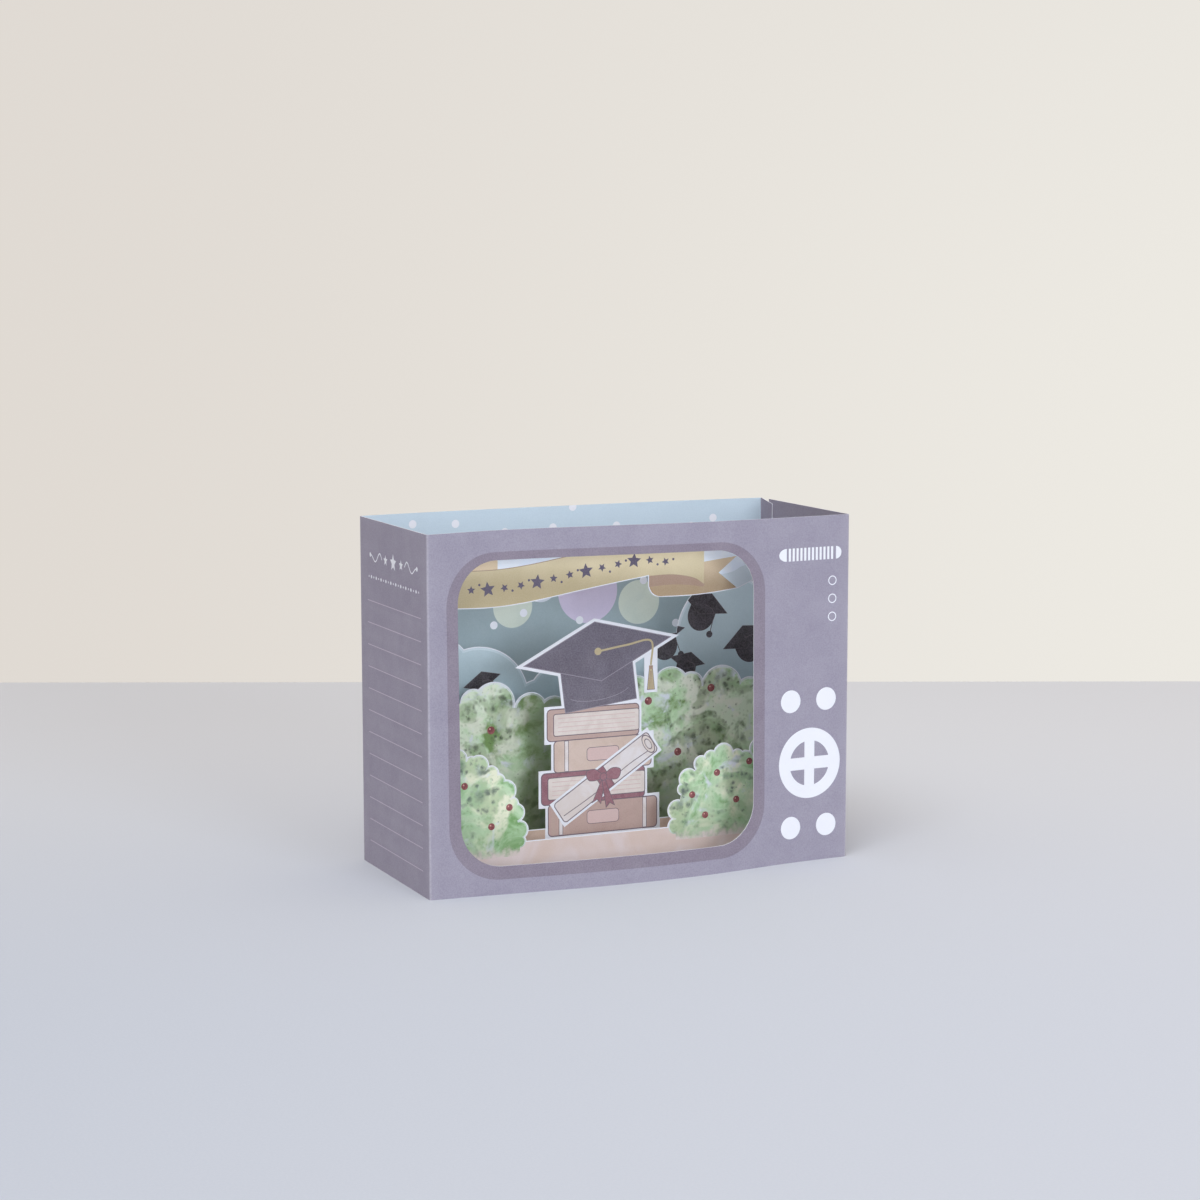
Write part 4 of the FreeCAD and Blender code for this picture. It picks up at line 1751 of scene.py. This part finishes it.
    def draw_scroll(self) -> None:
        """The rolled sheet with its end, its edge and a tied ribbon that hangs straight down."""
        art = self.art
        x, z = self.scroll_middle
        (x1, z1), (x2, z2) = self.scroll_box()[[0, 2]]
        roll = rounded_box(x1, z1, x2, z2, self.scroll_corner, 6)
        art.outlined(Ink.CREAM, self.laid(roll), self.cover_line)
        edge = smooth([(x1 + 1, z - 1.6), (x - 6, z - 2.2), (x + 8, z - 1.5), (x2 - 3, z - 2.0)], 8)
        art.fill(Ink.LINE, self.laid(stroke(edge, 0.28)))
        reach = self.scroll_end
        for size, ink in self.scroll_turns:
            oval = arc(x2 - reach, z, reach * size, (z2 - z) * 0.94 * size, 0, 360, 33)[:-1]
            art.fill(ink, self.laid(oval))
        wrap = self.laid(box(x - self.wrap[0], z1 - 0.1, x + self.wrap[1], z2 + 0.1))
        art.outlined(Ink.WINE, wrap, self.tie_line)
        knot = np.array([x - 1.0, z])
        for sense, drop in zip((-1, 1), self.tie_drops):
            side = np.array([sense, 1.0])
            tail = np.array([(0.0, 0.8), (4.2, -drop), (2.4, 1.0 - drop), (1.0, -drop - 0.6), (-0.6, -0.8)])
            art.outlined(Ink.WINE, knot + tail * side, self.tie_line)
            loop = smooth(knot + np.array(self.tie_loop) * side, 8, closed=True)
            art.outlined(Ink.WINE, loop, self.tie_line)
        art.outlined(Ink.WINE, disc(knot[0], knot[1] + 0.3, 1.3, 20), self.tie_line)


@dataclass
class ForegroundSheet(InnerSheet):
    """Posts and ground with bushes at both sides, and a ribbon under the sky across the top."""

    left_post: float = 11.0
    right_post: float = 22.0
    ground: float = 13.5
    ribbon_drop_left: float = 26.4
    ribbon_drop_fold: float = 19.2
    ribbon_fold_from_right: float = 70.0
    ribbon_tail_from_right: float = 36.2
    ribbon_fold_depth: float = 7.4
    ribbon_tail_rise: float = 1.4
    ribbon_corner: float = 4.5
    sky_drop: float = 17.0
    lobe: float = 3.1
    rim: float = 0.75
    bushes: tuple[tuple[float, float, float, float, float, int], ...] = (
        (-66.15, 29.0, 33.0, 90, 0, 10), (36.15, 21.5, 27.0, 180, 0, 12), (55.15, 12.0, 34.0, 90, 180, 7))
    berries: Pairs = (
        (-60.0, 34.0), (-50.5, 19.5), (-63.0, 21.0), (-44.0, 25.5), (24.0, 24.0), (33.5, 31.0), (41.0, 21.0),
        (29.0, 16.5), (46.0, 34.0))
    foot: float = 4.8
    wave_bends: Pairs = ((0.25, -0.05), (0.6, 0.4))
    under_sag: float = 0.7
    sky_sag: float = 0.9
    hill: Pairs = ((-16.0, 99.0), (-3.0, 100.4), (2.0, 102.4))
    hill_end: Pairs = ((-6.0, 103.2), (1.0, 105.0))
    band_thickness: float = 12.4
    band_end: float = 28.2
    band_slope: Pairs = ((0.0, 0.0), (9.0, 0.1), (17.0, -1.4))
    band_fall: float = 3.8
    fork: Pairs = ((-7.2, 5.8), (-0.3, 11.2))
    tail_top: Pair = (9.8, 6.0)
    band_shadow: float = 0.25
    fold_shade: float = 3.7
    behind: tuple[float, float, float] = (18.4, -1.0, 8.0)
    star_count: int = 13
    star_start: float = 9.0
    star_pitch: float = 5.9
    star_radii: Pair = (2.7, 1.5)
    star_turns: Pair = (8.0, 14.0)
    star_dot: float = 0.42
    star_dot_shift: Pair = (2.9, 1.6)
    level_stars: int = 10
    star_drop: float = 0.8

    def __post_init__(self) -> None:
        """Works out where the posts stand and where the ribbon folds and ends."""
        super().__post_init__()
        self.top = self.tab_height
        self.post_left, self.post_right = self.left + self.left_post, self.right - self.right_post
        self.fold_x = self.right - self.ribbon_fold_from_right
        self.tail_x = self.right - self.ribbon_tail_from_right

    def draw(self) -> None:
        """Posts, ground, ribbon, bushes and berries."""
        art, edge = self.art, self.sizes.bare_edge
        art.cuts += [box(-self.flat_end, self.low, self.post_left, self.top),
                     box(self.post_right, self.low, self.flat_end, self.top)]
        self.cut_strip(Ink.GROUND, self.ground)
        end, over = self.strip_end + BLEED, self.top + BLEED
        art.fill(Ink.CLOUD, box(-end, self.ground, self.post_left - edge, over),
                 box(self.post_right + edge, self.ground, end, over))
        self.draw_sky()
        self.draw_bushes()
        self.draw_berries()

    def bush(self, cx: float, reach: float, rise: float, start: float, end: float, lobes: int) -> Lobes:
        """Part of an oval hump on the ground line between two angles, with round lobes along its edge.

        Args:
            cx: middle of the hump.
            reach, rise: its half width and height.
            start, end: the two angles in degrees.
            lobes: number of steps from the first lobe to the last.

        Returns:
            Its core and lobes.
        """
        turn = np.radians(start + (end - start) * staggered(lobes + 1))
        middles = np.stack([cx + (reach - self.lobe) * np.cos(turn),
                            self.ground + (rise - self.lobe) * np.sin(turn)], axis=1)
        return Lobes(np.concatenate([[(cx, self.ground)], middles]), middles, self.lobe, 40)

    def draw_bushes(self) -> None:
        """The bushes, with a pale rim along their lobes and their feet faded into the ground."""
        art = self.art
        bushes = [self.bush(*bush) for bush in self.bushes]
        for lobes in bushes:
            art.cuts += [lobes.core, *lobes.discs()]
            art.fill(Ink.BUSH_RIM, *lobes.discs(self.sizes.bare_edge))
        for lobes in bushes:
            x = lobes.core[:, 0]
            foot = box(x.min(), self.ground - self.foot, x.max(), self.ground + BLEED)
            art.fill(Ink.BUSH, lobes.core, foot, *lobes.discs(self.rim))

    def wave(self, x: np.ndarray) -> np.ndarray:
        """Height of the ribbon's lower edge: a cubic curve through four points.

        Args:
            x: places across.

        Returns:
            The height at each.
        """
        height, start = self.sizes.height, self.post_left
        low_left, low_fold = height - self.ribbon_drop_left, height - self.ribbon_drop_fold
        rise, span = low_fold - low_left, self.fold_x - start
        stations = [start, *(start + share * span for share, _ in self.wave_bends), self.fold_x]
        heights = [low_left, *(low_left + share * rise for _, share in self.wave_bends), low_fold]
        return cubic(stations, heights, x)

    @staticmethod
    def sagging(start: Points, end: Points, sag: float) -> Points:
        """A line between two points that sags by a sine.

        Args:
            start, end: the points.
            sag: how far it sags in its middle.

        Returns:
            Points along it, the first left out.
        """
        sweep = np.linspace(0, 1, 14)[1:, None]
        return start + (end - start) * sweep - np.array([0, sag]) * np.sin(math.pi * sweep)

    def draw_sky(self) -> None:
        """The sheet's upper edge: white sky with a hill, cut along the ribbon's lower edge and its own."""
        art, edge, height = self.art, self.sizes.bare_edge, self.sizes.height
        low_corner = height - self.ribbon_drop_fold - self.ribbon_fold_depth
        round_off = self.ribbon_corner
        x = np.linspace(self.post_left, self.fold_x, 40)
        wave = np.stack([x, self.wave(x)], axis=1)
        corner = arc(self.fold_x + round_off, low_corner + round_off, round_off, round_off, 180, 270, 10)
        tail_end = np.array([self.tail_x, low_corner + self.ribbon_tail_rise])
        under = self.sagging(corner[-1], tail_end, self.under_sag)
        far = np.array([self.post_right, height - self.sky_drop])
        sky = self.sagging(under[-1], far, self.sky_sag)
        lower = np.concatenate([wave, corner, under, sky])
        left, right = self.post_left, self.post_right
        art.cuts.append(np.concatenate([lower, [(right, self.top), (left, self.top)]]))
        inner, end, over = lower + (0, edge), far + edge, self.top + BLEED
        art.fill(Ink.CLOUD_WHITE, np.concatenate([inner, [end, (end[0], over), (left - edge, over)]]))
        hill = [(self.tail_x + x, z) for x, z in self.hill] + [(right + x, z) for x, z in self.hill_end]
        foot = np.concatenate([under[6:], sky]) + (0, edge)
        art.fill(Ink.CLOUD_RIM, np.concatenate([smooth(hill, 8), [end], foot[::-1]]))
        self.draw_ribbon(wave, corner, under)

    def draw_ribbon(self, wave: Points, corner: Points, under: Points) -> None:
        """The ribbon with its shaded fold and forked tail, and a stretch of it behind at the upper left.

        Args:
            wave, corner, under: stretches of its lower edge.
        """
        art, edge, thickness = self.art, self.sizes.bare_edge, self.band_thickness
        fold, tip = wave[-1], under[-1]
        fork = tip + np.array([(-edge, edge), *self.fork])
        tail = np.concatenate([[fold + (edge, 0)], corner + (edge, edge * 0.7), under[:-1] + (0, edge), fork,
                               [(self.band_end, tip[1] + self.tail_top[0]), fold + (edge, self.tail_top[1])]])
        art.fill(Ink.RIBBON_TAIL, tail)
        slope = smooth([*(fold + self.band_slope), (self.band_end, fold[1] - self.band_fall)], 8)
        share = np.linspace(0, 1, len(slope))[:, None]
        shade = slope - (0, 1) * (self.fold_shade * np.sqrt(1 - share ** 2))
        art.fill(Ink.RIBBON_SHADE, np.concatenate([slope, shade[-2::-1]]) + (edge, 0))
        left, top = self.post_left, wave[0, 1] + thickness
        reach, low, high = self.behind
        art.fill(Ink.RIBBON_TAIL, box(left - 3, top + low, left + reach, top + high))
        upper = np.concatenate([wave, slope[1:]]) + (0, thickness)
        band = np.concatenate([wave + (0, edge), slope[1:], upper[::-1]])
        art.fill(Ink.RIBBON_SHADE, band + (0.0, self.band_shadow))
        art.fill(Ink.RIBBON, band)
        self.draw_stars()

    def draw_stars(self) -> None:
        """A row of large and small stars with dots along the ribbon; the last two stand lower."""
        x = self.post_left + self.star_start + self.star_pitch * np.arange(self.star_count)
        height = self.wave(x) + 0.5 * self.band_thickness
        for k, (x, z) in enumerate(zip(x, height)):
            z -= self.star_drop * max(k - self.level_stars, 0)
            if k % 3 == 1:
                self.art.fill(Ink.STAR, star(x, z, self.star_radii[0], self.star_turns[0] * math.sin(k)))
            else:
                right, up = self.star_dot_shift
                dot = disc(x + right, z + up * math.cos(2.0 * k), self.star_dot, 14)
                self.art.fill(Ink.STAR, star(x, z, self.star_radii[1], self.star_turns[1] * k), dot)


# Studio


@dataclass(frozen=True)
class Lamp:
    """A large soft square lamp that looks at the card; lengths in metres, angles in degrees."""

    name: str
    azimuth: float
    elevation: float
    distance: float
    size: float
    power: float
    colour: Colour
    spread: float = 80.0

    def build(self, target: Vector) -> None:
        """Adds the lamp.

        Args:
            target: where it looks.
        """
        data = bpy.data.lights.new(self.name, "AREA")
        data.size = self.size
        data.spread = math.radians(self.spread)
        data.energy = self.power
        data.color = linear(self.colour)[:3]
        lamp = bpy.data.objects.new(self.name, data)
        turn, rise = math.radians(self.azimuth), math.radians(self.elevation)
        away = Vector((math.sin(turn) * math.cos(rise), -math.cos(turn) * math.cos(rise), math.sin(rise)))
        lamp.location = target + away * self.distance
        lamp.rotation_euler = away.to_track_quat("Z", "Y").to_euler()
        bpy.context.scene.collection.objects.link(lamp)


@dataclass
class Studio:
    """Floor, lights and camera."""

    sizes: Sizes
    focal_pixels: float = 2757.1
    frame_pixels: float = 1200.0
    sensor: float = 36.0
    yaw: float = 24.194
    pitch: float = 7.689
    roll: float = 0.056
    from_corner: tuple[float, float, float] = (-309.2, -824.1, 217.5)
    wall_distance: float = 1315.0
    floor_reach: float = 12.0
    wall_size: float = 3.0
    # Floor colours, left then right: the right ones are lighter, a painted fall of light.
    floor_near: tuple[Colour, Colour] = ((196, 204, 215), (213, 219, 228))
    floor_far: tuple[Colour, Colour] = ((215, 218, 221), (223, 226, 229))
    floor_grain: Colour = (240, 240, 244)
    floor_steps: tuple[Pair, Pair] = ((-0.25, 0.30), (-0.35, 0.35))
    # Backdrop colours, left then right, and higher up: a painted fall of light, lighter to the right.
    wall_steps: tuple[Pair, Pair] = ((-0.32, 0.34), (0.1, 0.6))
    wall_sides: tuple[Colour, Colour] = ((224, 218, 211), (237, 234, 227))
    wall_high: Colour = (224, 219, 213)
    beyond: Colour = (229, 225, 219)
    horizon: Colour = (163, 147, 136)
    zenith: Colour = (241, 236, 234)
    lamps: tuple[Lamp, ...] = (
        Lamp("front", 9.0, 12.0, 3.2, 1.1, 6.8, (232, 242, 254)),
        Lamp("upper", -42.0, 56.0, 2.2, 1.0, 3.3, (240, 246, 255)))

    def __post_init__(self) -> None:
        """Works out the camera's place in millimetres, and the level directions ahead and to its right."""
        turn = math.radians(self.yaw)
        self.eye = np.array([-self.sizes.half, self.sizes.front_face, 0.0]) + np.array(self.from_corner)
        self.ahead = np.array([math.sin(turn), math.cos(turn), 0.0])
        self.side = np.array([math.cos(turn), -math.sin(turn), 0.0])

    def camera(self) -> None:
        """Places the camera by its distance from the lower front corner at the left."""
        data = bpy.data.cameras.new("camera")
        data.sensor_width = self.sensor
        data.lens = self.focal_pixels * self.sensor / self.frame_pixels
        data.clip_start = 0.01
        camera = bpy.data.objects.new("camera", data)
        camera.location = self.eye * MM
        camera.rotation_mode = "XYZ"
        camera.rotation_euler = [math.radians(angle) for angle in (90 - self.pitch, self.roll, -self.yaw)]
        bpy.context.scene.collection.objects.link(camera)
        bpy.context.scene.camera = camera

    def surface(self, name: str, corners: Sequence[tuple[float, float, float]],
                material: bpy.types.Material) -> None:
        """Adds a flat four-cornered surface that isn't part of the card.

        Args:
            name: its name.
            corners: its corners in metres.
            material: its finish.
        """
        mesh = bpy.data.meshes.new(name)
        mesh.from_pydata(corners, [], [(0, 1, 2, 3)])
        mesh.materials.append(material)
        piece = bpy.data.objects.new(name, mesh)
        bpy.context.scene.collection.objects.link(piece)

    def floor(self) -> None:
        """A wide pale floor, blue-grey in front and more neutral towards the backdrop, lighter to the right
        as a painted fall of light.
        """
        shader = Shader(bpy.data.materials.new("floor paper"))
        grain = shader.noise(0.8, 2.0)
        far = shader.along(self.ahead).step(*self.floor_steps[0])
        # Lighter to the right: a painted fall of light across the floor.
        right = shader.along(self.side).step(*self.floor_steps[1])
        colour = shader.mix(far, shader.mix(right, *self.floor_near), shader.mix(right, *self.floor_far))
        colour = shader.mix(grain.step(0.3, 0.7) * 0.06, colour, self.floor_grain)
        corners = [(x, z, 0) for x, z in box(-1, -1, 1, 1) * self.floor_reach]
        self.surface("floor", corners, shader.finish(colour, 0.9, grain, 0.01))

    def wall(self) -> None:
        """A cream backdrop behind the card, seen from its front only, which casts no light; lighter to the
        right, a painted fall of light.
        """
        middle = (self.eye * (1, 1, 0) + self.ahead * self.wall_distance) * MM
        out, up = self.side * self.wall_size, np.array([0, 0, self.wall_size])
        corners = (middle - out, middle + out, middle + out + up, middle - out + up)
        shader = Shader(bpy.data.materials.new("backdrop paper"))
        # Lighter to the right and another tone higher up: a painted fall of light on the backdrop.
        share = (shader.along(self.side) - float(middle @ self.side)).step(*self.wall_steps[0])
        high = shader.axis("Z").step(*self.wall_steps[1]) * 0.6
        colour = shader.mix(high, shader.mix(share, *self.wall_sides), self.wall_high)
        glow = shader.node("ShaderNodeEmission", {}, {"Color": colour, "Strength": 1.0})
        clear = shader.node("ShaderNodeBsdfTransparent", {}, {})
        facing = shader.value("ShaderNodeNewGeometry", {}, {}, "Backfacing")
        seen = shader.value("ShaderNodeLightPath", {}, {}, "Is Camera Ray") * (1 - facing)
        mixed = shader.node("ShaderNodeMixShader", {}, {0: seen, 1: clear.outputs[0], 2: glow.outputs[0]})
        shader.node("ShaderNodeOutputMaterial", {}, {"Surface": mixed.outputs[0]})
        self.surface("wall", [tuple(corner) for corner in corners], shader.owner)

    def sky(self) -> None:
        """Soft light from all around, brightest overhead; the camera sees the backdrop's colour instead."""
        shader = Shader(bpy.data.worlds.new("studio"))
        bpy.context.scene.world = shader.owner
        direction = shader.node("ShaderNodeTexCoord", {}, {}).outputs["Generated"]
        up = shader.value("ShaderNodeSeparateXYZ", {}, {0: direction}, "Z")
        glow = shader.mix(up, self.horizon, self.zenith)
        light = shader.node("ShaderNodeBackground", {}, {"Color": glow, "Strength": 1.0})
        beyond = shader.node("ShaderNodeBackground", {}, {"Color": linear(self.beyond), "Strength": 1.0})
        seen = shader.value("ShaderNodeLightPath", {}, {}, "Is Camera Ray")
        mixed = shader.node("ShaderNodeMixShader", {}, {0: seen, 1: light.outputs[0], 2: beyond.outputs[0]})
        shader.node("ShaderNodeOutputWorld", {}, {"Surface": mixed.outputs[0]})

    def build(self) -> None:
        """Sets up the whole studio, with its lamps on the middle of the card."""
        self.camera()
        self.floor()
        self.wall()
        self.sky()
        for lamp in self.lamps:
            lamp.build(Vector((0, 0, 0.5 * self.sizes.height * MM)))
        bpy.context.scene.view_settings.view_transform = "Standard"


def main() -> None:
    """Builds the card's sheets around the frame, then the studio."""
    logging.basicConfig(level=logging.INFO, format="%(message)s")
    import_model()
    palette = Palette()
    sizes = Sizes.from_frame(Sleeve.front_bow, Sleeve.back_bow)
    top = sizes.height - sizes.foreground_top_drop
    sheets: tuple[tuple[Sheet, str], ...] = (
        (Sleeve(sizes, "folded_sleeve"), "sleeve_card"),
        (ForegroundSheet(sizes, "foreground_sheet", top), "foreground_card"),
        (FigureSheet(sizes, "figure_sheet", FigureSheet.ground), "figure_card"),
        (HedgeSheet(sizes, "hedge_sheet", 50.0), "hedge_card"),
        (CloudSheet(sizes, "cloud_sheet", 62.0), "cloud_card"),
    )
    for sheet, slot in sheets:
        piece = sheet.build(palette)
        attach(piece, BODY)
        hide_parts(sheet.node)
    Studio(sizes).build()


if __name__ == "__main__":
    main()
